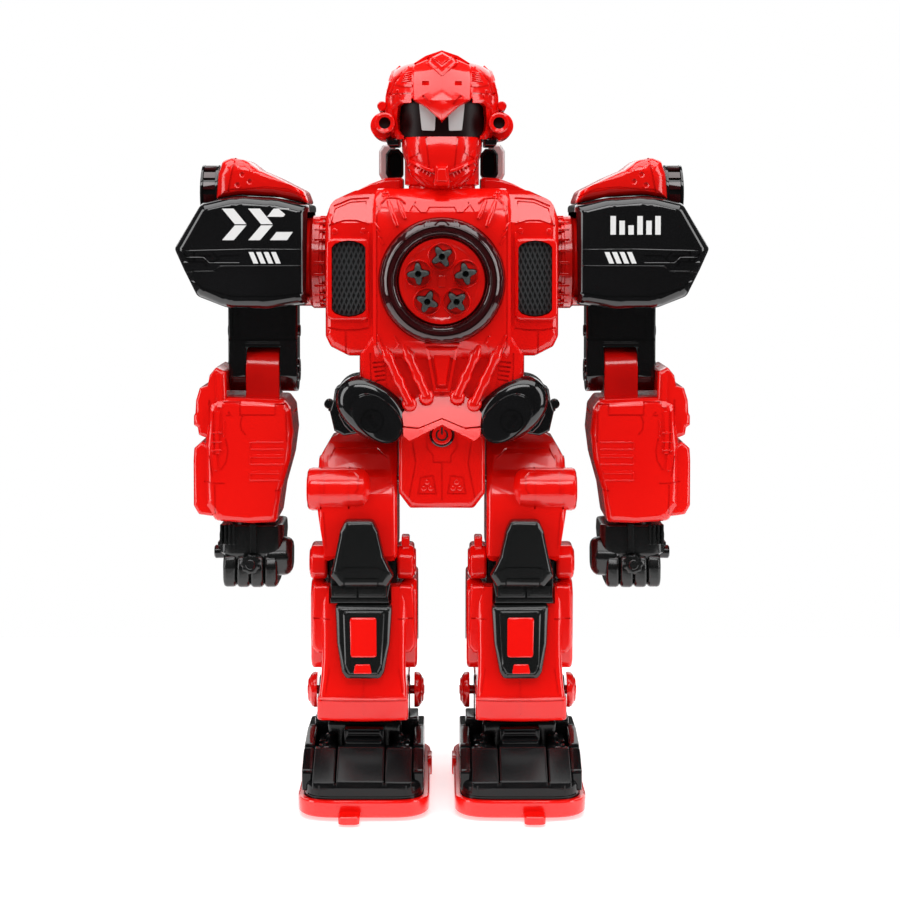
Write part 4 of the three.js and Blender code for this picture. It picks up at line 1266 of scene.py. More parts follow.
def make_hip_pods(body):
    """Egg-shaped covers with a raised oval lens, each on an angular casing."""
    back = span("hip_pod_right")[1].y
    px, _, pz = middle_of("hip_pod_right")

    def lens(less=0.0):
        return oval(px + 2.6, pz - 3.8, 15.6 - less, 10.2 - less, turn=-0.74, count=56, power=2.2)

    pod = Shape()
    egg = oval(px, pz, 21.0, 14.5, turn=-0.66, count=56, power=2.15)
    pod.pillow(egg, [(-48.4, 12), (-48.2, 8), (-47.4, 4.6), (-45.8, 2.0), (-43, 0.5), (-39, 0), (back, 0)])
    pod.pillow(lens(), [(-50.4, 7), (-50.2, 4), (-49.6, 1.4), (-48.4, 0.4), (-45, 0)])
    tree = pod.tree()
    cx, cz = px + 0.4, pz - 5.0
    cut = Shape()
    groove(cut, tree, circle(cx, cz, 5.7, around(28)), 0.6, 0.45, closed=True)
    groove(cut, tree, [(cx - 2.4, cz + 3.0), (cx + 2.0, cz - 3.0)], 2.0, 0.5)
    pod.carve(cut)
    strip(pod, tree, lens(1.0), 0.6, 0.35, 0.5, closed=True)
    strip(pod, tree, circle(cx, cz, 3.9, [0.3 + a for a in around(28)[:19]]), 0.5, 0.3, 0.4)
    casing = [(-33, 220), (-48.6, 218.6), (-55.4, 214.4), (-56.4, 208), (-58.2, 203), (-55.8, 192.4),
              (-50.8, 190), (-44, 191)]
    pod.cushion(rounded(casing, 1.2), -36, -16, 1.2)
    ridge = [(-43, 219.6), (-48.6, 217.4), (-52.2, 213), (-51.6, 207.4), (-53.6, 201.4), (-50.6, 195.6),
             (-46.4, 191.4)]
    pod.cushion(rounded(ridge + [(-40, 200)], 1.0), -40.5, -30, 1.0)
    pod.turned([(0, -35), (2.0, -35), (2.5, -34.5), (2.5, -29), (0, -28)], "y", (-58.6, 0, 206.4), count=20)
    pod.box((-59, -54), (-34, -28), (202.6, 205.4), bevel=0.5)
    pair("hip_pod_cover", pod, body, ["hip_pod"], slot="black_plastic")


def make_exhausts(body):
    """Behind the head on each side, a silver frame round a black eight-sided mouth."""
    lo, hi = span("exhaust_right")
    low, high = lo.z, hi.z
    tube, mouth = Shape(), Shape()
    silver = [(-24, low), (-32.4, low), (-34, low + 3), (-34, high - 3.4), (-31.8, high), (-25.4, high)]
    tube.cushion(rounded(silver, 1.4), lo.y + 1, hi.y, 1.4)
    eight = rounded([(-22.4, low + 0.3), (-28.8, low + 0.3), (-30.4, low + 3.4), (-30.4, high - 5.2),
                     (-28.2, high - 2.2), (-23.4, high - 2.2), (-20.9, high - 5), (-20.9, low + 3)], 1)
    mouth.cushion(eight, lo.y, hi.y + 0.4, 1.1)
    inner = oval(-25.6, (lo.z + hi.z) / 2 - 1, 3.6, 6.2, count=28, power=2.6)
    mouth.carve(Shape().pillow(inner, [(lo.y - 2, -0.6), (lo.y + 0.8, 0), (lo.y + 9, 0.8)]))
    tube.carve(Shape().prism(shrunk(eight, 0.6), lo.y - 1, hi.y - 2))
    pair("exhaust_frame", tube, body, ["exhaust"], slot="silver_plastic")
    pair("exhaust_mouth", mouth, body, look=FOOT_BLACK, slot="black_plastic")


def make_battery_door(body):
    """The door with its arrows, panel line, latch and two screws."""
    lo, hi = span("battery_door")
    door = Shape()
    door.cushion(rounded([(lo.x, lo.z), (hi.x, lo.z), (hi.x, hi.z), (lo.x, hi.z)], 2.5), hi.y - 1, lo.y,
                 0.8)
    tree = door.tree()
    cut = Shape()
    for k in range(3):
        half, z = 9 - 2 * k, lo.z + 11 + 5 * k
        groove(cut, tree, [(-half, z + 5), (0, z), (half, z + 5)], 1.2, 0.6, side="back")
    panel = [(-20, lo.z + 6), (20, lo.z + 6), (20, hi.z - 15), (-20, hi.z - 15)]
    groove(cut, tree, panel, 0.7, 0.5, side="back", closed=True)
    door.carve(cut)
    door.box((-8, 8), (hi.y - 2, hi.y), (hi.z - 10, hi.z - 7), bevel=0.5)
    screw(door, tree, 0, hi.z - 4.2, 2.0, side="back")
    screw(door, tree, 0, lo.z + 3.4, 2.0, side="back")
    piece("battery_cover", door, body, ["battery_door"])


def make_torso():
    """The trunk and what is set into it."""
    body = body_of["torso_front_shell"]
    make_shell(body)
    make_power_button(body)
    make_grilles(body)
    make_launcher(body)
    make_darts()
    make_hip_pods(body)
    make_exhausts(body)
    make_battery_door(body)


make_torso()


# ---------------------------------------------------------------- arms

HALF_TURN = [math.pi * k / 16 for k in range(17)]


def make_drum():
    """The ribbed drum that turns against the torso's side."""
    lo, hi = span("shoulder_drum_right")
    turn = joint_at("shoulder_right")
    drum = Shape()
    r = (hi.z - lo.z) / 2
    profile = [(0, -60.7), (r - 3.0, -60.7), (r - 2.2, -61.2), (r - 2.2, -62.4), (r - 1.2, -62.8),
               (r - 1.2, -64.0),
               (r - 0.2, -64.4), (r - 0.2, -68), (r - 1.4, -69.4), (r - 1.4, -80), (0, -80)]
    drum.turned(profile, "x", (0, turn.y, turn.z), count=72)
    drum.rod(8, -82, -52, "x", (0, turn.y, turn.z), count=32)
    for y, z in circle(turn.y, turn.z, r - 0.9, around(24)):
        drum.box((-66.8, -61.2), (y - 1.1, y + 1.1), (z - 0.7, z + 0.7), bevel=0.3)
    pair("shoulder_drum_ribbed", drum, "arm", ["shoulder_drum"])


def make_armour():
    """The hollow black shell with its panel lines, then the white marks printed on it."""
    lo, hi = span("shoulder_armour_right")
    front, back = lo.y, hi.y
    armour = Shape()
    outline = rounded(
        [(-68.5, 309.5, 2), (-86, 313.4, 30), (-106, 314.4, 30), (-124.5, 310.6, 5), (-138.5, 287, 3),
         (-133.8, 276.4, 6), (-126.8, 262.2, 5), (-111, 256, 20), (-91, 255.2, 20), (-69.5, 258, 3)],
         steps=4,
    )
    armour.pillow(outline, [(front - 0.1, 5.2), (front + 0.2, 4.0), (front + 1.2, 2.4), (front + 3.2, 1.0),
                            (front + 6, 0.3), (front + 10, 0), (back - 8, 0), (back - 4, 0.6),
                            (back - 1.4, 2.4), (back, 6)])
    hollow = Shape().prism(inset(outline, 3), front + 4, back - 4)
    hollow.carve(Shape().box((-200, -78), (-90, 90), (200, 400), bevel=0))
    hollow.box((-79, -60), (front + 4, back - 4), (262, 306), bevel=0)
    tree = armour.tree()
    cut = Shape()
    grooves(cut, tree, [
        (0.5, 0.45, [(-133.6, 280.2), (-122.6, 280.2), (-120.6, 277.8)]),
        (0.5, 0.45, [(-104, 283.4), (-113.6, 283.4), (-116.4, 280.4), (-122, 280.4)]),
        (0.6, 0.45, [(-118.2, 285.2), (-114.4, 281.4)]),
        (0.9, 0.5, [(-127.4, 285.4), (-127.4, 280.6)]),
        (0.6, 0.4, [(-132.6, 284.4), (-129.6, 280.8)]),
        (0.8, 0.5, [(-124.8, 283.2), (-118.6, 283.2)]),
        (0.5, 0.35, [(-69, 264.6), (-84, 262.4), (-108, 262.4), (-122, 266.2), (-131, 272)]),
    ])
    grooves(cut, tree, [
        (0.8, 0.5, [(-30, 300), (22, 300)]),
        (0.8, 0.5, [(-30, 285), (22, 285), (30, 277)]),
        *((1.2, 0.7, [(-16 + 9 * k, 271), (-10 + 9 * k, 279)]) for k in range(4)),
    ], ("right",))
    grooves(cut, tree, [
        (0.8, 0.5, [(-72, 304), (-120, 304), (-131, 286), (-122, 268), (-72, 264)], CLOSED),
        *((1.3, 0.8, [(-84 - 6 * k, 276), (-90 - 6 * k, 294)]) for k in range(5)),
    ], ("back",))
    armour.carve(cut)
    armour.carve(hollow)
    ribs(armour, tree, [
        (0.5, 0.35, [(-70, 286.6), (-100, 286.8), (-131.6, 286.0)]),
        (0.7, 0.45, [(-70, 278.2), (-114.6, 278.0), (-117.4, 275.4), (-131.4, 275.2)]),
        (0.5, 0.35, [(-131.4, 282.6), (-122.6, 282.6), (-119.6, 279.8), (-104, 279.8)]),
    ])
    for x, z in ((-76, 299), (-76, 268), (-117, 299)):
        screw(armour, tree, x, z, 1.8, side="back")
    pair("shoulder_armour_shell", armour, "arm", ["shoulder_armour"], slot="black_plastic")

    make_marks(tree, front)


def make_marks(tree, front):
    """White marks: chevrons and blocks on the right, a row of bars on the left, four stripes on both."""
    sunk, proud = 0.3, 0.12
    right, left = Shape(), Shape()

    def mark(target, outline):
        place = [(x, surface_at(tree, "front", x, z) or front, z) for x, z in outline]
        target.rings([[(x, y - d, z) for x, y, z in place] for d in (-sunk, proud)])

    for k in range(4):
        x = -99.4 + 3.85 * k
        bar = [(x, 285.3), (x + 2.5, 285.3), (x + 5.0, 279.4), (x + 2.5, 279.4)]
        mark(right, bar)
        mark(left, [(-91.0 - (px + 92.0), pz) for px, pz in reversed(bar)])
    for x in (-113, -99.5):
        mark(right, [(x, 307.6), (x + 6.0, 307.6), (x + 12.6, 299.6), (x + 6.6, 299.6)])
        mark(right, [(x + 6.6, 299.0), (x + 12.6, 299.0), (x + 6.0, 291.4), (x, 291.4)])
    mark(right, [(-86.4, 307.6), (-78.4, 307.6), (-81.4, 303.4), (-89.8, 303.4)])
    mark(right, [(-85.0, 295.6), (-76.6, 295.6), (-79.6, 291.4), (-88.4, 291.4)])
    foot = 294.2
    for k, height in enumerate((9.6, 7.2, 9.6, 4.8, 7.2, 9.6)):
        x = -112.4 + 4.6 * k
        mark(left, [(x, foot), (x + 2.8, foot), (x + 2.8, foot + height), (x, foot + height)])
    for side, marks in (("right", right), ("left", left.mirrored())):
        piece(f"armour_marks_{side}", marks, f"arm_{side}", look=WHITE_PRINT, slot="silver_plastic")


def make_cap():
    """The red cap, humped towards its outer end, with a seam and three dimples."""
    lo, hi = span("shoulder_cap_right")
    front, back = lo.y, hi.y
    cap = Shape()
    line = rounded(
        [(-68.8, 309.6, 1.5), (-86, 313.8, 20), (-106, 314.9, 20), (-117.6, 312.6, 0.6), (-116.6, 325, 4),
         (-114.4, 332.4, 2.6), (-109, 334.4, 5), (-101.5, 333, 8), (-95, 328, 8), (-86, 324.2, 12),
         (-71.5, 316.8, 4)], steps=4,
    )
    cap.pillow(line, [(front - 0.3, 6.5), (front + 0.4, 3.6), (front + 2.2, 1.4), (front + 5, 0.3),
                      (front + 9, 0),
                      (back - 8, 0), (back - 3.6, 0.8), (back - 1, 2.6), (back, 5)])
    tree = cap.tree()
    cut = Shape()
    grooves(cut, tree, [
        (0.6, 0.5, [(-107.0, 333.6), (-109.4, 323), (-110.8, 315.6)]),
        (0.5, 0.35, [(-70.8, 313.8), (-80, 317.8), (-92, 318.8), (-104, 317.2), (-110.6, 317.2)]),
    ])
    groove(cut, tree, [(-107.2, -28), (-107.2, 25)], 0.6, 0.5, side="top")
    for x, z in ((-103.4, 325.2), (-99.6, 321.6), (-105.8, 319.8)):
        y = surface_at(tree, "front", x, z)
        cut.turned([(0, -6), (1.7, -6), (1.5, 0.3), (1.0, 0.7), (0, 0.8)], "y", (x, y, z), count=20)
    cap.carve(cut)
    pair("shoulder_cap_shell", cap, "arm", ["shoulder_cap"])


def make_turbine():
    """The round turbine at the armour's outer top corner: a hub with studs, two rims and short blades."""
    turbine, blades = Shape(), Shape()
    face, z, r = -127.6, 316, 15
    inner, outer, count = r - 1.7, r - 0.35, 14
    at = (0, 0, z)
    hub = [(0, face + 1.5), (6, face + 1.2), (7, face + 0.2), (10.5, face), (11.5, face + 1.2),
           (r - 1.6, face + 1.4), (r - 1.6, -118), (0, -118)]
    turbine.turned(hub, "x", at, count=48)
    front_rim = [(r - 1.8, face + 0.4), (r, face + 0.8), (r, face + 1.8), (r - 1.8, face + 2.2)]
    back_rim = [(r - 1.8, -119.4), (r, -119.2), (r, -118), (r - 1.8, -118)]
    for rim in (front_rim, back_rim):
        turbine.turned(rim, "x", at, count=48, closed=True)
    for k in range(count):
        start, end = (2 * math.pi * (k + f) / count for f in (0.12, 0.72))
        angles = [start, (start + end) / 2, end]
        ring = circle(0, z, outer, angles) + circle(0, z, inner, reversed(angles))
        blades.rings([[(x, y, z) for y, z in ring] for x in (face + 2.2, -119.3)])
    stud = [(0, face - 0.1), (0.9, face - 0.1), (1.1, face + 0.4), (1.1, face + 2)]
    for y, z in circle(0, z, 8.9, around(8)):
        blades.turned(stud, "x", (0, y, z), count=12)
    pair("turbine_wheel", turbine, "arm", slot="black_plastic")
    pair("turbine_blades", blades, "arm", slot="smoked_red")


def make_upper_arm():
    """The black fork that holds the forearm's tongue between its two round ends."""
    lo, hi = span("upper_arm_right")
    elbow = joint_at("elbow_right")
    pivot = (0, elbow.y, elbow.z)
    r = hi.y
    round_end = [(-r * math.cos(t), elbow.z - r * math.sin(t)) for t in HALF_TURN]
    arm = Shape()
    arm.cushion([(-r, hi.z - 2), *round_end, (r, hi.z - 2)], lo.x, hi.x, 1.1, plane="yz", steps=2)
    tree = arm.tree()
    cut = Shape().box((-104.1, -85.5), (-30, 30), (190, 234.8), bevel=0)
    cut.rod(1.9, -200, 0, "x", pivot)
    arm.carve(cut)
    cut = Shape()
    for x in (-110.4, -107.6, -79.0, -82.2):
        groove(cut, tree, [(x, 256), (x, 240.4)], 0.5, 0.5)
        groove(cut, tree, [(x, 256), (x, 240.4)], 0.5, 0.5, side="back")
    for side in ("front", "back"):
        groove(cut, tree, [(-112.8, 238.6), (-76.6, 238.6)], 0.8, 0.7, side=side)
    arm.carve(cut)
    for side in ("front", "back"):
        rib(arm, tree, [(-104, 237.2), (-85.6, 237.2)], 1.0, 0.6, side=side)
    button = [(0, -1), (3.4, -1), (3.4, 0.6), (2.8, 1.0), (0, 1.0)]
    washer = [(3.2, -1), (6.2, -1), (6.2, 0.5), (5.6, 0.8), (3.4, 0.8)]
    for x, way in ((lo.x, -1), (hi.x, 1)):
        arm.turned([(r, way * w) for r, w in button], "x", (x, 0, 243), count=24)
        arm.turned([(r, way * w) for r, w in washer], "x", (x, elbow.y, elbow.z), count=32, closed=True)
    pair("upper_arm_shell", arm, "arm", ["upper_arm"], slot="black_plastic")


def forearm_body(front, back, elbow):
    """The forearm's block with its tongue at the elbow and two plates on its outer side."""
    block = rounded(
        [(-112.2, 209.2, 1), (-121.6, 206.4, 3), (-123.8, 186, 6), (-124.0, 152, 3), (-118.4, 144.2, 3),
         (-101, 142.9, 10),
         (-86.4, 143.4, 2.6), (-84.0, 160, 8), (-79.4, 176.6, 8), (-77.6, 190.4, 5), (-78.8, 203.2, 3),
         (-82.4, 208.2, 2.4)],
    )
    arm = Shape()
    arm.pillow(block, [(front - 0.2, 3.8), (front + 0.3, 2.4), (front + 1.6, 0.9), (front + 4, 0.1),
                       (front + 8, 0),
                       (back - 8, 0), (back - 3, 0.6), (back - 1, 2.0), (back, 3.6)])
    # The plates stand one above the other with a notch between them.
    upper = [(-112.6, 204), (-112.8, 222.6), (-118.0, 225.0), (-121.4, 220.8), (-122.4, 215.4),
             (-126.6, 214.2),
             (-128.6, 207.6), (-129.0, 201.0), (-129.8, 199.4), (-129.8, 194.6), (-127.8, 193.4),
             (-127.2, 189.4), (-122.4, 187.6), (-116, 190)]
    arm.cushion(rounded(upper, 1.0), front + 2.2, back - 2.2, 2.2)
    lower = [(-125.6, 186), (-129.6, 182.6), (-130.0, 176), (-130.0, 152.4), (-127.4, 147.8), (-119, 146.6),
             (-119, 182)]
    arm.cushion(rounded(lower, 1.6), front + 1.4, back - 1.4, 2.0)
    r = 12.2
    round_end = [(-r * math.cos(t), elbow.z + r * math.sin(t)) for t in HALF_TURN]
    arm.cushion([(-r, 206), *round_end, (r, 206)], -103.7, -85.9, 0.9, plane="yz", steps=2)
    return arm.merged()


def make_forearm():
    """The forearm with its panel lines, ribs and screws, and the bores for the elbow pin and the wrist."""
    lo, hi = span("forearm_right")
    elbow, wrist = joint_at("elbow_right"), joint_at("wrist_right")
    arm = forearm_body(lo.y, hi.y, elbow)
    tree = arm.tree()
    cut = Shape()
    grooves(cut, tree, [
        (0.55, 0.5, [(-114, 206.9), (-105.2, 206.9), (-105.2, 200.2), (-86.9, 200.2), (-86.9, 205.8),
                     (-81.4, 205.8), (-81.0, 186)]),
        (0.5, 0.45, [(-103.8, 199.8), (-105.0, 196.6), (-104.6, 192.6), (-102.4, 189.8)]),
        (0.6, 0.4, [(-112.6, 200), (-110.2, 200), (-111.4, 202)]),
        (0.5, 0.4, [(-112.8, 188), (-111.6, 181.4), (-112.4, 176), (-115.4, 171.4)]),
        (0.55, 0.5, [(-118.6, 163.6), (-118.4, 148.4)]),
        (0.5, 0.45, [(-124.4, 165.4), (-118.0, 164.4), (-113.4, 164.4)]),
        (0.6, 0.5, [(-87.4, 160.6), (-84.4, 160.8)]),
        (0.6, 0.6, [(-121.4, 208), (-121.4, 194)]),
        (0.5, 0.5, [(-121.4, 179), (-119.8, 168)]),
    ])
    groove(cut, tree, [(-120, 203), (-84, 203), (-82, 186), (-88, 152), (-120, 152)], 0.7, 0.5, side="back",
           closed=True)
    for k in range(6):
        groove(cut, tree, [(-96, 192 - 5 * k), (-114, 192 - 5 * k)], 1.0, 0.7, side="back")
    outer = ([(-20, 212), (18, 212)], [(-22, 184), (20, 184)],
             [(-20, 150), (-24, 178), (22, 178), (18, 150)])
    inner = ([(-20, 200), (18, 200)], [(-22, 176), (20, 176)],
             [(-14, 150), (-14, 168), (12, 168), (12, 150)])
    for side, paths in (("right", outer), ("left", inner)):
        grooves(cut, tree, [(0.7, 0.6, path) for path in paths], (side,))
    cut.rod(2.4, -200, 0, "x", (0, elbow.y, elbow.z))
    cut.rod(10.2, 130, 164, "z", (wrist.x, wrist.y, 0), count=40)
    arm.carve(cut)
    for z, w in ((186.2, 0.7), (182.4, 0.8), (178.9, 1.7), (174.6, 0.8), (170.3, 1.5), (166.2, 0.8)):
        reach = -82.4 if z > 172 else -84.4
        rib(arm, tree, [(-100.0, z), (reach, z)], w, 0.55)
    for z0, z1 in ((186.2, 182.4), (178.9, 174.6), (170.3, 166.2)):
        rib(arm, tree, [(-100.1, z0), (-100.1, z1)], 0.6, 0.5)
    ribs(arm, tree, [
        (2.6, 1.0, [(-116.4, 222), (-115.8, 204.4)]),
        (2.1, 1.0, [(-116.6, 202.4), (-117.4, 190), (-117.0, 180)]),
        (1.0, 0.8, [(-119.6, 202.4), (-119.9, 190), (-119.4, 181)]),
    ])
    for z in (191.2, 186.4, 182):
        rib(arm, tree, [(-120.4, z), (-114.6, z)], 0.8, 1.3)
    ribs(arm, tree, [
        (2.2, 0.9, [(-118.6, 179.6), (-118.4, 175), (-118.0, 171.2)]),
        (0.7, 0.5, [(-113.6, 197.4), (-113.6, 189)]),
    ])
    for y, z in ((-12, 196), (10, 196), (-12, 158), (10, 158)):
        screw(arm, tree, y, z, 1.6, side="right")
    for x, z in ((-120, 158), (-92, 158), (-118, 206)):
        screw(arm, tree, x, z, 1.9, side="back")
    arm.box((-130.8, -128), (-12, 8), (154, 165.6), bevel=0.6)
    arm.box((-130.6, -128), (-16, 12), (195.4, 199), bevel=0.5)
    pair("forearm_shell", arm, "forearm", ["forearm"])


def make_hand():
    """A fist: four curled fingers side by side, the thumb across them and a toothed hub on the knuckles."""
    outer = span("hand_right")[0].x
    wrist = joint_at("wrist_right")
    hand = Shape()
    hand.tower(
        [(122.6, -114, -84.4, -22, 14, 6), (127, -117.4, -84, -23, 16, 6.5),
         (136, -117.6, -83.2, -22.6, 16, 6.5),
         (141.6, -117.0, -83.4, -22, 15.4, 6)], steps=5, crown=1.2, foot=2.0,
    )
    hand.rod(9.3, 132, 160, "z", (wrist.x, wrist.y, 0), count=36)
    for k, back_set in enumerate((1.6, 0.4, 0, 0.8)):
        x, half = -111.6 + 7.2 * k, 3.5
        curl = [(-25.5 + back_set, 108.4), (8, 108.0), (13, 113), (13, 126), (-23, 126),
                (-26.4 + back_set, 120)]
        hand.cushion(rounded(curl, 7, steps=5), x - half, x + half, 1.8, plane="yz", steps=3)
    thumb = rounded([(-22, 114.2), (0, 114.2), (3, 131.5), (-17, 135), (-24, 126)], 7, steps=5)
    hand.cushion(thumb, -94.6, -79.0, 4.0, plane="yz", steps=4)
    for k in range(4):
        hand.box((-116.6 + 2.2 * k, -115.4 + 2.2 * k), (-23.6, -20), (131.4, 142), bevel=0.35)
    hand.box((-100.9, -97.5), (-24.2, -18), (127, 142.6), bevel=0.6)
    hub_x, hub_z = -100.3, 121.6
    gear = []
    for k, angle in enumerate(around(18)):
        gear += circle(hub_x, hub_z, 5.6 if k % 2 else 4.7, [angle])
    hand.pillow(rounded(gear, 0.4, steps=1), [(-28.4, 1.2), (-28.0, 0.2), (-20, 0)])
    hand.turned([(0, -29.2), (2.2, -29.2), (2.6, -28.8), (2.6, -24), (0, -24)], "y", (hub_x, 0, hub_z),
                count=24)
    knuckle = [(0, outer), (2.8, outer), (3.6, outer + 0.7), (3.6, -116), (0, -116)]
    hand.turned(knuckle, "x", (0, -8, 125.5), count=24)
    hand.box((-118.8, -115), (-14, -2), (129, 131.6), bevel=0.5)
    for k in range(3):
        hand.box((-112 + 9.0 * k, -106 + 9.0 * k), (13.4, 16.6), (127, 139), bevel=0.8)
    pair("fist", hand, "hand", ["hand"], slot="satin_black")


make_drum()
make_armour()
make_cap()
make_turbine()
make_upper_arm()
make_forearm()
make_hand()


# ---------------------------------------------------------------- legs

THROUGH = 80
LEG_X = joints["hip_right"]["pos_m"][0] / MM
THIGH_BARREL, BARREL_RADIUS = (0, -30, 161.6), 11.2
KNEE_BARREL_Y, KNEE_BARREL_Z = -16, 121.4


def thigh_body(hip):
    """The thigh's block, rounded over the hip axle and drawn in at its sides, with the barrel across it."""
    r, r0 = 26.8, BARREL_RADIUS
    over_hip = circle(0, hip.z, r, [math.radians(18 * k) for k in range(1, 10)])
    profile = [(33.5, 151), (31, 166), *over_hip, (-30, 168), (-36.5, 160), (-38, 150), (-38, 127.5),
               (-34, 124.4), (30, 124.4), (33.5, 130)]
    thigh = Shape().cushion(profile, -64.6, -23.2, 3.2, plane="yz", steps=3)
    sides = [(-64.6, 200), (-64.6, 151), (-60.2, 124), (-56.2, 126), (-53.4, 128.4), (-32.2, 128.4),
             (-29.4, 124.6), (-23.2, 123), (-22.8, 200)]
    thigh.boolean(Shape().prism(rounded(sides, 1.2), -THROUGH, THROUGH), "INTERSECT")
    corner = [(-70, 176), (-64.7, 176), (-58.6, 186.6), (-48, 192), (-70, 192)]
    thigh.boolean(Shape().prism(corner, -THROUGH, THROUGH), "DIFFERENCE")
    barrel = [(0, -69.9), (9.2, -69.9), (10.6, -69.2), (r0, -67.6), (r0, -44), (10.6, -40.6), (8.4, -38.4),
              (5, -37.4), (0, -37)]
    thigh.boolean(Shape().turned(barrel, "x", THIGH_BARREL, count=56), "UNION")
    return thigh


def make_thigh():
    """The thigh with its panel lines, the rings at the hip and the bores for the axle and the knee."""
    hip = joint_at("hip_right")
    axle = (0, hip.y, hip.z)
    r0 = BARREL_RADIUS
    thigh = thigh_body(hip)
    tree = thigh.tree()
    cut = Shape()
    grooves(cut, tree, [
        (0.5, 0.4, [(-61.0, 171.6), (-46.4, 171.6), (-43.4, 169.2), (-43.4, 163.0), (-45.0, 160.4)]),
        (0.5, 0.4, [(-61.0, 171.6), (-61.0, 160.4)]),
        (0.5, 0.4, [(-59.4, 175.6), (-56.4, 181.8), (-34, 181.8), (-28.6, 177)]),
        (0.5, 0.4, [(-61.4, 150.4), (-59.8, 131.6)]),
    ])
    grooves(cut, tree, [
        (0.7, 0.5, [(-58, 176), (-30, 176), (-28, 150), (-32, 132), (-54, 132), (-60, 150)], CLOSED),
        *((1.1, 0.8, [(-53, 168 - 5 * k), (-36, 168 - 5 * k)]) for k in range(4)),
    ], ("back",))
    groove(cut, tree, [(-24, 150), (-24, 136), (22, 136), (22, 150)], 0.7, 0.6, side="right")
    for x in (-63.2, -48.6):
        band = [(r0 - 0.3, x), (r0 + 1, x), (r0 + 1, x + 0.7), (r0 - 0.3, x + 0.7)]
        cut.turned(band, "x", THIGH_BARREL, count=56, closed=True)
    # Room for the knee inside, and for the torso's axle.
    cut.box((-57.8, -27.2), (-33, 28), (100, 152), bevel=0)
    cut.rod(2.9, -21, -66, "x", axle)
    thigh.carve(cut)
    thigh.turned([(0, -66.2), (6.5, -66.2), (8, -65.4), (8, -62), (0, -62)], "x", axle)
    collar = [(9.4, -65.4), (12.6, -65.4), (13.2, -64.8), (13.2, -62), (9.4, -62)]
    thigh.turned(collar, "x", axle, count=48, closed=True)
    washer = [(4, -69.6), (6.6, -70.3), (7.4, -69.6), (7.4, -68), (4, -68)]
    thigh.turned(washer, "x", THIGH_BARREL, count=36, closed=True)
    for x in (-56, -28):
        screw(thigh, tree, x, 180, 1.7, side="back")
    pair("thigh_shell", thigh, "leg", ["thigh"])


def make_knee():
    """The black knee guard, the steps below it and the knee's core between thigh and shin."""
    front = span("knee_guard_right")[0].y
    knee = Shape()
    guard = rounded(
        [(-49.8, 147.2, 3), (-35.4, 147.2, 3), (-32.8, 141.6, 4), (-29.8, 128, 4), (-24.8, 118.4, 2),
         (-28.4, 112.8, 1),
         (-53, 112.8, 1), (-57.6, 118.4, 2), (-55.2, 128, 4), (-52.6, 141.6, 4)], steps=4,
    )
    knee.pillow(guard, [(front + 0.3, 2.6), (front + 0.6, 1.5), (front + 1.4, 0.5), (front + 3, 0),
                        (-38.6, 0)])
    low = [(-57.4, 122), (-26.6, 122), (-26.6, 113.2), (-28.0, 106.2), (-57.0, 106.2), (-57.8, 113.2)]
    knee.cushion(rounded(low, 1), -41.5, -30.5, 0.8)
    for x0, x1 in ((-57.2, -43.9), (-43.2, -28.6)):
        knee.box((x0, x1), (-44.6, -34), (107.0, 113.0), bevel=0.5)
        knee.box((x0 + 1.4, x1 - 1.4), (-45.2, -40), (108.2, 111.8), bevel=0.4)
    knee.box((-57.6, -27.4), (-43.6, -30.6), (103.9, 106.8), bevel=0.5)
    knee.cushion(rounded([(-57, 102), (-28, 102), (-28, 149), (-57, 149)], 2), -31.8, 26, 1.5)
    knee.box((-59.7, -23.6), (-26, 22), (110, 123.6), bevel=0.8)
    tree = knee.tree()
    cut = Shape()
    grooves(cut, tree, [
        (0.45, 0.35, [(-56.6, 120.4), (-49.4, 123.2), (-33.6, 123.2), (-26.4, 120.4)]),
        (0.5, 0.4, [(-50.4, 112.9), (-50.4, 117.4), (-33, 117.4), (-33, 112.9)]),
    ])
    knee = knee.merged()
    knee.carve(cut)
    pair("knee_shell", knee, "leg", ["knee_guard"], slot="satin_black")


def shin_front(z):
    """How far forward the shin's sloping front lies."""
    return -38 - (112 - z) * 0.18


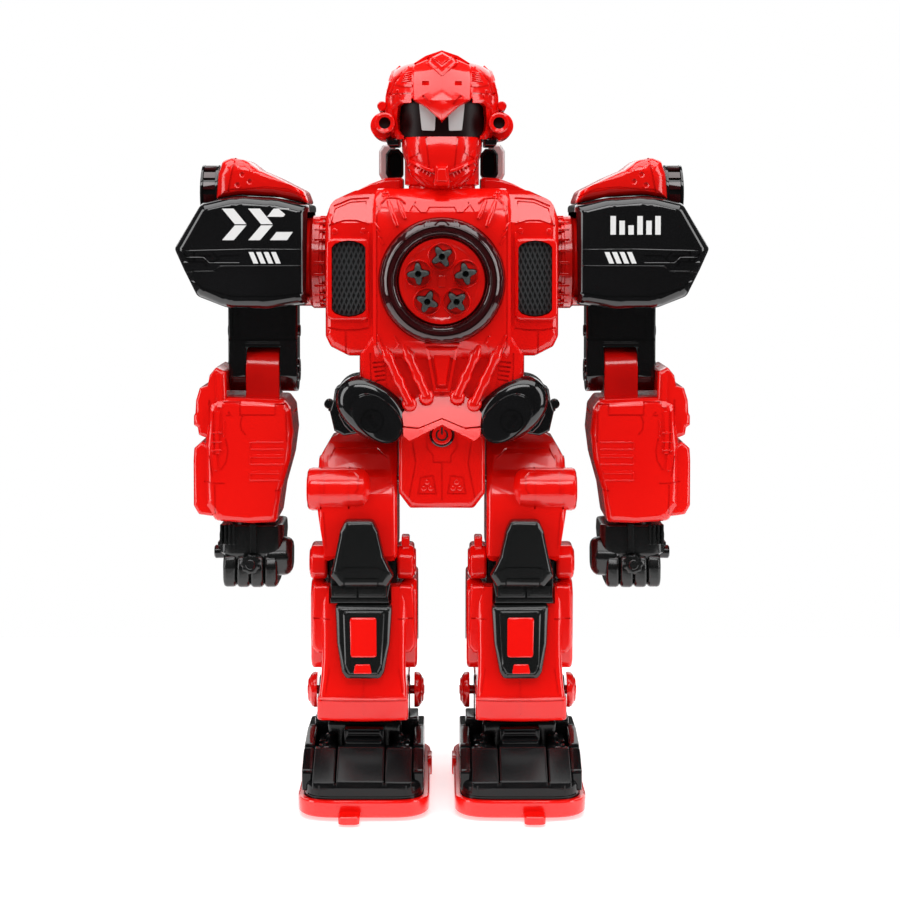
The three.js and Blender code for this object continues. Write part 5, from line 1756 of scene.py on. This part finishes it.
def shin_body():
    """The shin's block with its foot band, calves, cheeks ahead of them and the knee barrels."""
    cx = LEG_X
    # Height, then how far the block reaches outwards and inwards from the leg's middle.
    widths = ((44.4, 23.6, 23.0), (49, 23.8, 23.0), (54.6, 23.2, 22.4), (66, 22.2, 21.8), (76, 21.6, 21.6),
              (90, 21.8, 21.8), (104, 21.8, 21.8), (111.6, 21.4, 21.4))
    body = Shape().tower(
        [(z, cx - out, cx + inner, shin_front(z), 36.4 if 60 < z < 100 else 33, 3.4) for z, out,
         inner in widths],
        steps=4,
    )
    band = [(cx - 23.9, 56), (cx - 23.9, 44.6), (cx - 14, 43.5), (cx, 43.2), (cx + 14, 43.5),
            (cx + 23.0, 44.6),
            (cx + 23.0, 56)]
    body.cushion(rounded(band, 1.2), shin_front(47) - 0.3, 33, 1.6)
    calf = [(-30, 70), (-27, 66.8), (22, 66.8), (27, 72), (27, 106), (20, 113.4), (-24, 113.4), (-31, 108)]
    for x0, x1 in ((-68.6, -61), (-21, -12.9)):
        body.cushion(rounded(calf, 4, steps=3), x0, x1, 1.8, plane="yz", steps=3)
    outer_cheek = [(-67.2, 112), (-58.8, 112), (-58.6, 106), (-56.8, 97), (-56.4, 83), (-61.6, 76.8),
                   (-64.8, 76.8), (-67.4, 80)]
    inner_cheek = [(-22.6, 112), (-14.8, 112), (-13.8, 80), (-16.4, 76.8), (-20, 76.8), (-25.2, 83),
                   (-24.6, 97), (-22.8, 106)]
    for cheek in (outer_cheek, inner_cheek):
        body.cushion(rounded(cheek, 1.6), -38.6, -20, 1.6)
    block = [(-30, 114.2), (-30, 126), (-24, 131), (-6, 131), (-2, 126), (-2, 112)]
    for x0, x1 in ((-68.9, -59.9), (-23.4, -14.6)):
        body.cushion(rounded(block, 4, steps=4), x0, x1, 1.8, plane="yz", steps=3)
    knob = rounded([(-26, 129), (-26, 136), (-14, 136), (-14, 129)], 1.6)
    body.cushion(knob, -21.2, -17.0, 0.8, plane="yz", steps=2)
    return body.merged()


def make_shin():
    """The shin with its panel lines, screws and barrel discs, hollow for the knee and the ankle."""
    ankle = joint_at("ankle_right")
    cx = LEG_X
    body = shin_body()
    tree = body.tree()
    cut = Shape()
    grooves(cut, tree, [
        (0.6, 0.5, [(cx - 24, 54.8), (cx - 9, 54.2), (cx + 9, 54.2), (cx + 23.4, 54.8)]),
        (0.45, 0.35, [(cx, 65), (cx, 56)]),
        (0.45, 0.35, [(cx, 53), (cx, 47.4)]),
        (0.6, 0.5, [(-66.8, 95.2), (-58, 95.2)]),
        (0.6, 0.5, [(-15.0, 95.2), (-23, 95.2)]),
        (0.5, 0.4, [(-58.2, 70), (-60, 58)]),
        (0.5, 0.4, [(cx + 18, 70), (cx + 20, 58)]),
    ])
    groove(cut, tree, [(-56, 104), (-25, 104), (-25, 66), (-56, 66)], 0.8, 0.6, side="back", closed=True)
    for k in range(5):
        groove(cut, tree, [(-50, 98 - 5.4 * k), (cx, 94 - 5.4 * k), (-31, 98 - 5.4 * k)], 1.2, 0.8,
               side="back")
    groove(cut, tree, [(-24, 108), (20, 108), (20, 73), (-24, 73)], 0.7, 0.6, side="right", closed=True)
    for k in range(4):
        groove(cut, tree, [(-16 + 9 * k, 78), (-10 + 9 * k, 88)], 1.3, 0.8, side="right")
    groove(cut, tree, [(-22, 100), (18, 100)], 0.7, 0.6, side="left")
    # Room for the knee above and for the foot's ankle block below.
    cut.box((-58.6, -26.2), (-60, -30.2), (103.0, 134), bevel=0)
    cut.box((-57.6, -27.4), (-33.4, 27.4), (99, 134), bevel=0)
    body.carve(cut)
    room = [(shin_front(44) + 4.2, 38), (shin_front(70) + 5, 70), (29, 70), (29, 38)]
    body.carve(Shape().prism(room, cx - 20.0, cx + 20.0, plane="yz"))
    body.carve(Shape().rod(2.9, -90, 0, "x", (0, ankle.y, ankle.z)))
    for y, z in ((-14, 104), (12, 104)):
        screw(body, tree, y, z, 1.7, side="right")
    for x, z in ((-52, 60), (-29, 60), (-60.5, 104), (-20.5, 104)):
        screw(body, tree, x, z, 1.9, side="back")
    ring = [(3, 0), (6.2, 0.9), (7.2, 0.4), (7.2, -1.5), (3, -1.5)]
    button = [(0, 0.7), (2.2, 0.7), (2.6, 0.3), (2.6, -1.5), (0, -1.5)]
    for x, way in ((-68.9, -1), (-14.6, 1)):
        at = (x, KNEE_BARREL_Y, KNEE_BARREL_Z)
        body.turned([(r, way * w) for r, w in ring], "x", at, count=36, closed=True)
        body.turned([(r, way * w) for r, w in button], "x", at, count=24)
    pair("shin_shell", body, "leg", ["shin"])


def make_shin_pad():
    """The black pad with a large and a small red inlay, lying on the slope of the shin."""

    def slab(target, outline, levels):
        target.rings([[(x, shin_front(z) - out, z) for x, z in shrunk(outline, d)] for out, d in levels])

    pad, inlay = Shape(), Shape()
    edge = rounded([(-55.2, 103.2, 2), (-25.6, 103.2, 2), (-26.8, 84, 12), (-29.6, 69.4, 3),
                    (-31.6, 66.0, 3),
                    (-49.4, 66.0, 3), (-51.6, 69.4, 3), (-54.2, 84, 12)], steps=4)
    slab(pad, edge, [(6.4, 2.4), (6.2, 1.6), (5.4, 0.5), (4, 0), (-1.5, 0)])
    plate = rounded([(-51.2, 100.6), (-29.4, 100.6), (-30.8, 73), (-33, 68.6), (-48, 68.6), (-50, 73)], 1.6)
    slab(pad, plate, [(7.4, 0.9), (7.0, 0.2), (5, 0)])
    large = rounded([(-47.6, 97.4), (-33.6, 97.4), (-33.4, 77.2), (-47.0, 77.2)], 1.5)
    slab(inlay, large, [(8.1, 0.8), (7.8, 0.2), (6.5, 0)])
    small = rounded([(-44.6, 74.0), (-36.8, 74.0), (-35.8, 69.0), (-45.6, 69.0)], 0.8)
    slab(inlay, small, [(8.0, 0.6), (7.8, 0.2), (6.5, 0)])
    pair("shin_pad_shell", pad, "leg", ["shin_pad"], slot="satin_black")
    pair("shin_inlay", inlay, "leg")


def make_ankle_discs():
    """The ankle's axle with a domed red disc at each end."""
    ankle = joint_at("ankle_right")
    disc = [(0, 0), (4.6, 0), (7.4, -0.6), (9.0, -1.8), (9.5, -3.2), (9.3, -4.6), (0, -4.6)]
    ring = [(5.0, -1), (5.8, 0.4), (6.4, 0.1), (6.6, -1)]
    button = [(0, -1), (2.6, -1), (2.6, 0.6), (2.1, 0.9), (0, 0.9)]
    discs = Shape()
    for x, way in ((-71.4, -1), (-10.2, 1)):
        for profile, count, closed in ((disc, 44, False), (ring, 44, True), (button, 24, False)):
            turned = [(r, way * w) for r, w in profile]
            discs.turned(turned, "x", (x, ankle.y, ankle.z), count=count, closed=closed)
    discs.rod(2.4, -68, -13, "x", (0, ankle.y, ankle.z))
    pair("ankle_discs", discs, body_of["ankle_axle_right"].rsplit("_", 1)[0], ["ankle_axle"])


FOOT_X, FOOT_HALF, FOOT_FRONT, FOOT_BACK = -39.8, 33.6, -80, 50
WHEEL_Y, WHEEL_Z = 22, 9
WHEEL_PLACES = (LEG_X - 21, LEG_X + 21)


def foot_line(distance, corner=19):
    """The foot's outline from above, drawn in by a distance."""
    left, right = FOOT_X - FOOT_HALF, FOOT_X + FOOT_HALF
    box = [(left, FOOT_FRONT), (right, FOOT_FRONT), (right, FOOT_BACK), (left, FOOT_BACK)]
    return inset(rounded(box, corner, steps=8), distance)


def make_sole():
    """The red foot plate: a tray with a tongue at the toe, lugs at its sides and openings for the wheels."""
    plate = Shape()
    plate.pillow(foot_line(0), [(1.5, 1.0), (2.4, 0.2), (8.8, 0.0), (9.6, 0.3), (10.0, 0.9)], plane="xy")
    lug = rounded([(-2, 3), (16, 3), (14, 13.2), (0, 13.2)], 2.4)
    for x in (FOOT_X - 33.2, FOOT_X + 33.2):
        plate.cushion(lug, x - 1.2, x + 1.2, 0.5, plane="yz", steps=2)
    tray = Shape().prism(foot_line(3), 4.5, 30, plane="xy")
    for x in WHEEL_PLACES:
        tray.box((x - 4.2, x + 4.2), (11.6, 32.4), (-3, 9), bevel=0)
    plate.carve(tray)
    tongue = rounded([(-51.9, -70), (-51.9, -90.6, 2.6), (-40.9, -90.6, 2.6), (-40.9, -70)], 0)
    plate.pillow(tongue, [(0.8, 0.6), (1.2, 0.1), (4.4, 0), (4.9, 0.5)], plane="xy")
    plate.box((-58.4, -22.4), (-66, -61), (0, 3), bevel=0.3)
    tree = plate.tree()
    for k in range(6):
        rib(plate, tree, [(-70 + 12 * k, 2.9), (-70 + 12 * k, 8.4)], 0.8, 0.5, side="back")
    pair("foot_sole", plate, "foot", ["foot_plate"])


def foot_body():
    """The black upper: a rim, toe pads, the block under the shin, side rails and the ankle's ears."""
    foot = Shape()
    foot.pillow(foot_line(3.35), [(4.85, 0.4), (5.4, 0), (15.6, 0.2), (17.2, 0.9), (17.9, 2.2)], plane="xy")
    well = Shape().pillow(rounded([(-66, -68), (-14, -68), (-14, 40), (-66, 40)], 6), [(14, 0), (22, -0.6)],
                          plane="xy")
    foot.carve(well)
    # Three toe pads on one slope, the middle one the widest.
    for x0, x1, rise in ((-65.4, -54.2, 0.0), (-53.4, -29.4, 0.5), (-28.6, -15.2, 0.0)):
        high = 31.4 + rise
        toe = [(-76.4, 15), (-76.0, 18.4 + rise, 1.5), (-56.5, high, 3), (-50.8, high, 2), (-50.8, 15)]
        foot.cushion(rounded(toe, 0.5, steps=3), x0, x1, 1.0, plane="yz", steps=3)
    # Between the toe pads and the shin: a stepped block with ribs, and two low bosses.
    foot.box((-49.8, -31.0), (-51.6, -42), (20, 34.4), bevel=0.9)
    foot.box((-50.8, -30.0), (-46, -36), (16, 38.6), bevel=0.9)
    for k in range(3):
        foot.box((-48.6, -32.2), (-47.0, -44), (35.2 + 1.5 * k, 36.0 + 1.5 * k), bevel=0.25)
    low_boss = [(0, 20), (5.2, 20), (5.2, 29), (4.2, 30.2), (2.4, 30.4), (2.4, 31.4), (0, 31.6)]
    high_boss = [(0, 20), (3.0, 20), (3.0, 33.4), (2.4, 34), (0, 34)]
    for x, inwards in ((-59.4, 1.6), (-21.4, -1.6)):
        foot.turned(low_boss, "z", (x, -43.5, 0), count=28)
        foot.turned(high_boss, "z", (x + inwards, -35.6, 0), count=24)
        foot.box((x - 5, x + 5), (-34, -20), (14, 30), bevel=1.0)
    # Side rails in four stepped segments: from y0 to y1, as high as z1 and z2 at their ends.
    segments = ((-68, -47, 22, 29.6), (-46.2, -14, 30.4, 33.2), (-13.2, 18, 32.2, 31.2),
                (18.8, 40, 29.6, 22))
    for x in (-71.2, -15.0):
        for y0, y1, z1, z2 in segments:
            segment = [(y0, 12), (y0, z1), (y0 + 3, z1 + 0.6), (y1 - 3, z2 + 0.4), (y1, z2 - 0.4), (y1, 12)]
            foot.cushion(rounded(segment, 1.4, steps=2), x, x + 5.6, 1.2, plane="yz", steps=2)
        for y in (-46.6, -13.6, 18.4):
            foot.box((x + 0.7, x + 4.9), (y - 1.2, y + 1.2), (12, 28), bevel=0.4)
    ankle = joint_at("ankle_right")
    ear = [(-11, 16), (11, 16), *circle(0, ankle.z, 8, [math.pi * k / 12 for k in range(13)])]
    for x in (-64.55, -18.15):
        foot.cushion(ear, x - 1.15, x + 1.15, 0.5, plane="yz", steps=2)
    ankle_block = rounded([(-33.6, 14), (-33.6, 40.6), (23.6, 40.6), (23.6, 14)], 3)
    foot.cushion(ankle_block, -59.6, -21.2, 2, plane="yz", steps=3)
    cross_block = rounded([(-12, 14), (-12, 37), (12, 37), (12, 14)], 2)
    foot.cushion(cross_block, -67.6, -12.6, 1.0, plane="yz", steps=2)
    wheel_arch = rounded([(9, 12), (9, 18), (14, 22), (30, 22), (35, 18), (35, 12)], 2)
    for x in WHEEL_PLACES:
        foot.cushion(wheel_arch, x - 6, x + 6, 1.0, plane="yz", steps=2)
    return foot.merged()


def make_foot_upper():
    """The upper with its lines, and with room for the wheels, their axle and the ankle's axle."""
    ankle = joint_at("ankle_right")
    wheel_centre = (0, WHEEL_Y, WHEEL_Z)
    foot = foot_body()
    cut = Shape()
    for x in WHEEL_PLACES:
        cut.rod(10, x - 4, x + 4, "x", wheel_centre, count=36)
    cut.rod(2.9, -90, 0, "x", (0, ankle.y, ankle.z))
    tree = foot.tree()
    groove(cut, tree, [(-68, 11.6), (-12, 11.6)], 0.5, 0.4)
    for x in (-62, -18):
        groove(cut, tree, [(x, 17), (x, 11.8)], 0.5, 0.4)
    for k in range(4):
        groove(cut, tree, [(-60 + 11 * k, 14.6), (-54 + 11 * k, 14.6)], 1.2, 0.7, side="back")
    foot.carve(cut)
    foot.carve(Shape().rod(1.9, -68.8, -12, "x", wheel_centre, count=20))
    pair("foot_shell", foot, "foot", ["foot_upper"], look=FOOT_BLACK, slot="black_plastic")


make_thigh()
make_knee()
make_shin()
make_shin_pad()
make_ankle_discs()
make_sole()
make_foot_upper()
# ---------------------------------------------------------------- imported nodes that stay

for node, made in frame["nodes"].items():
    made.data.materials.clear()
    made.data.materials.append(LOOKS[slot_of[node]])


# ---------------------------------------------------------------- floor, light and camera, in metres

AXLE_Y = HIP_Y * MM
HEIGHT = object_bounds()[1].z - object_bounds()[0].z
FLOOR_X, FLOOR_FRONT, FLOOR_BACK, FLOOR_GAP, FLOOR_GLOW = 0.62, -0.34, 0.42, 0.0005, 0.5
# Name, place, size and power of each lamp.
LAMPS = (
    ("overhead", (0, -0.15, HEIGHT + 0.75), (1.4, 0.9), 12),
    ("left_box", (-1.15, -0.55, 0.55), (0.5, 1.3), 8),
    ("right_box", (1.15, -0.55, 0.55), (0.5, 1.3), 8),
    ("front_box", (0, -1.3, 1.35), (1.1, 0.4), 7),
    ("back_box", (0, 1.4, 0.9), (1.8, 1.0), 8),
)
LAMP_TARGET = (0, AXLE_Y, HEIGHT * 0.55)
MIRRORED_STUDIO = 0.05
CAMERA_DISTANCE, CAMERA_LEVEL, CAMERA_TILT = 1.150, 0.77, 87
LENS, SENSOR, SHIFT = 86.3, 36, (0.009, -0.1268)


def make_floor():
    """A pale floor that glows a little, so that it stays as light as the studio."""
    mesh = bpy.data.meshes.new("floor")
    corners = [(-FLOOR_X, FLOOR_FRONT), (FLOOR_X, FLOOR_FRONT), (FLOOR_X, FLOOR_BACK),
               (-FLOOR_X, FLOOR_BACK)]
    mesh.from_pydata([(x, y, 0) for x, y in corners], [], [(0, 1, 2, 3)])
    pale = moulded("pale floor", grey(0.86), grey(0.88), 0.6, grain=0.0)
    shader = pale.node_tree.nodes["Principled BSDF"]
    shader.inputs["Emission Color"].default_value = (*grey(1), 1)
    shader.inputs["Emission Strength"].default_value = FLOOR_GLOW
    mesh.materials.append(pale)
    floor = bpy.data.objects.new("floor", mesh)
    floor.location.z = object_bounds()[0].z - FLOOR_GAP
    scene.collection.objects.link(floor)


def make_lamp(name, place, size, power):
    """A white rectangular lamp that faces the robot."""
    data = bpy.data.lights.new(name, "AREA")
    data.shape, data.size, data.size_y = "RECTANGLE", *size
    data.energy = power
    made = bpy.data.objects.new(name, data)
    made.location = place
    made.rotation_euler = (Vector(LAMP_TARGET) - Vector(place)).to_track_quat("-Z", "Y").to_euler()
    scene.collection.objects.link(made)


def make_studio():
    """White where it is seen directly, and dark where the robot mirrors it, so that the lamps stand out."""
    world = bpy.data.worlds.new("studio")
    world.use_nodes = True
    nodes, link = world.node_tree.nodes, world.node_tree.links.new
    rays = nodes.new("ShaderNodeLightPath")
    surround = nodes.new("ShaderNodeMapRange")
    surround.inputs["To Min"].default_value = MIRRORED_STUDIO
    surround.inputs["To Max"].default_value = 1.0
    link(rays.outputs["Is Camera Ray"], surround.inputs["Value"])
    nodes["Background"].inputs["Color"].default_value = (*grey(1), 1)
    link(surround.outputs["Result"], nodes["Background"].inputs["Strength"])
    scene.world = world


def make_camera():
    """A camera level with the shoulders, a good metre in front, tilted and shifted down a little."""
    data = bpy.data.cameras.new("camera")
    data.sensor_width, data.lens = SENSOR, LENS
    data.shift_x, data.shift_y = SHIFT
    made = bpy.data.objects.new("camera", data)
    made.location = (0, AXLE_Y - CAMERA_DISTANCE, HEIGHT * CAMERA_LEVEL)
    made.rotation_euler = (math.radians(CAMERA_TILT), 0, 0)
    scene.collection.objects.link(made)
    scene.camera = made
    scene.view_settings.view_transform = "Standard"


make_floor()
for lamp in LAMPS:
    make_lamp(*lamp)
make_studio()
make_camera()
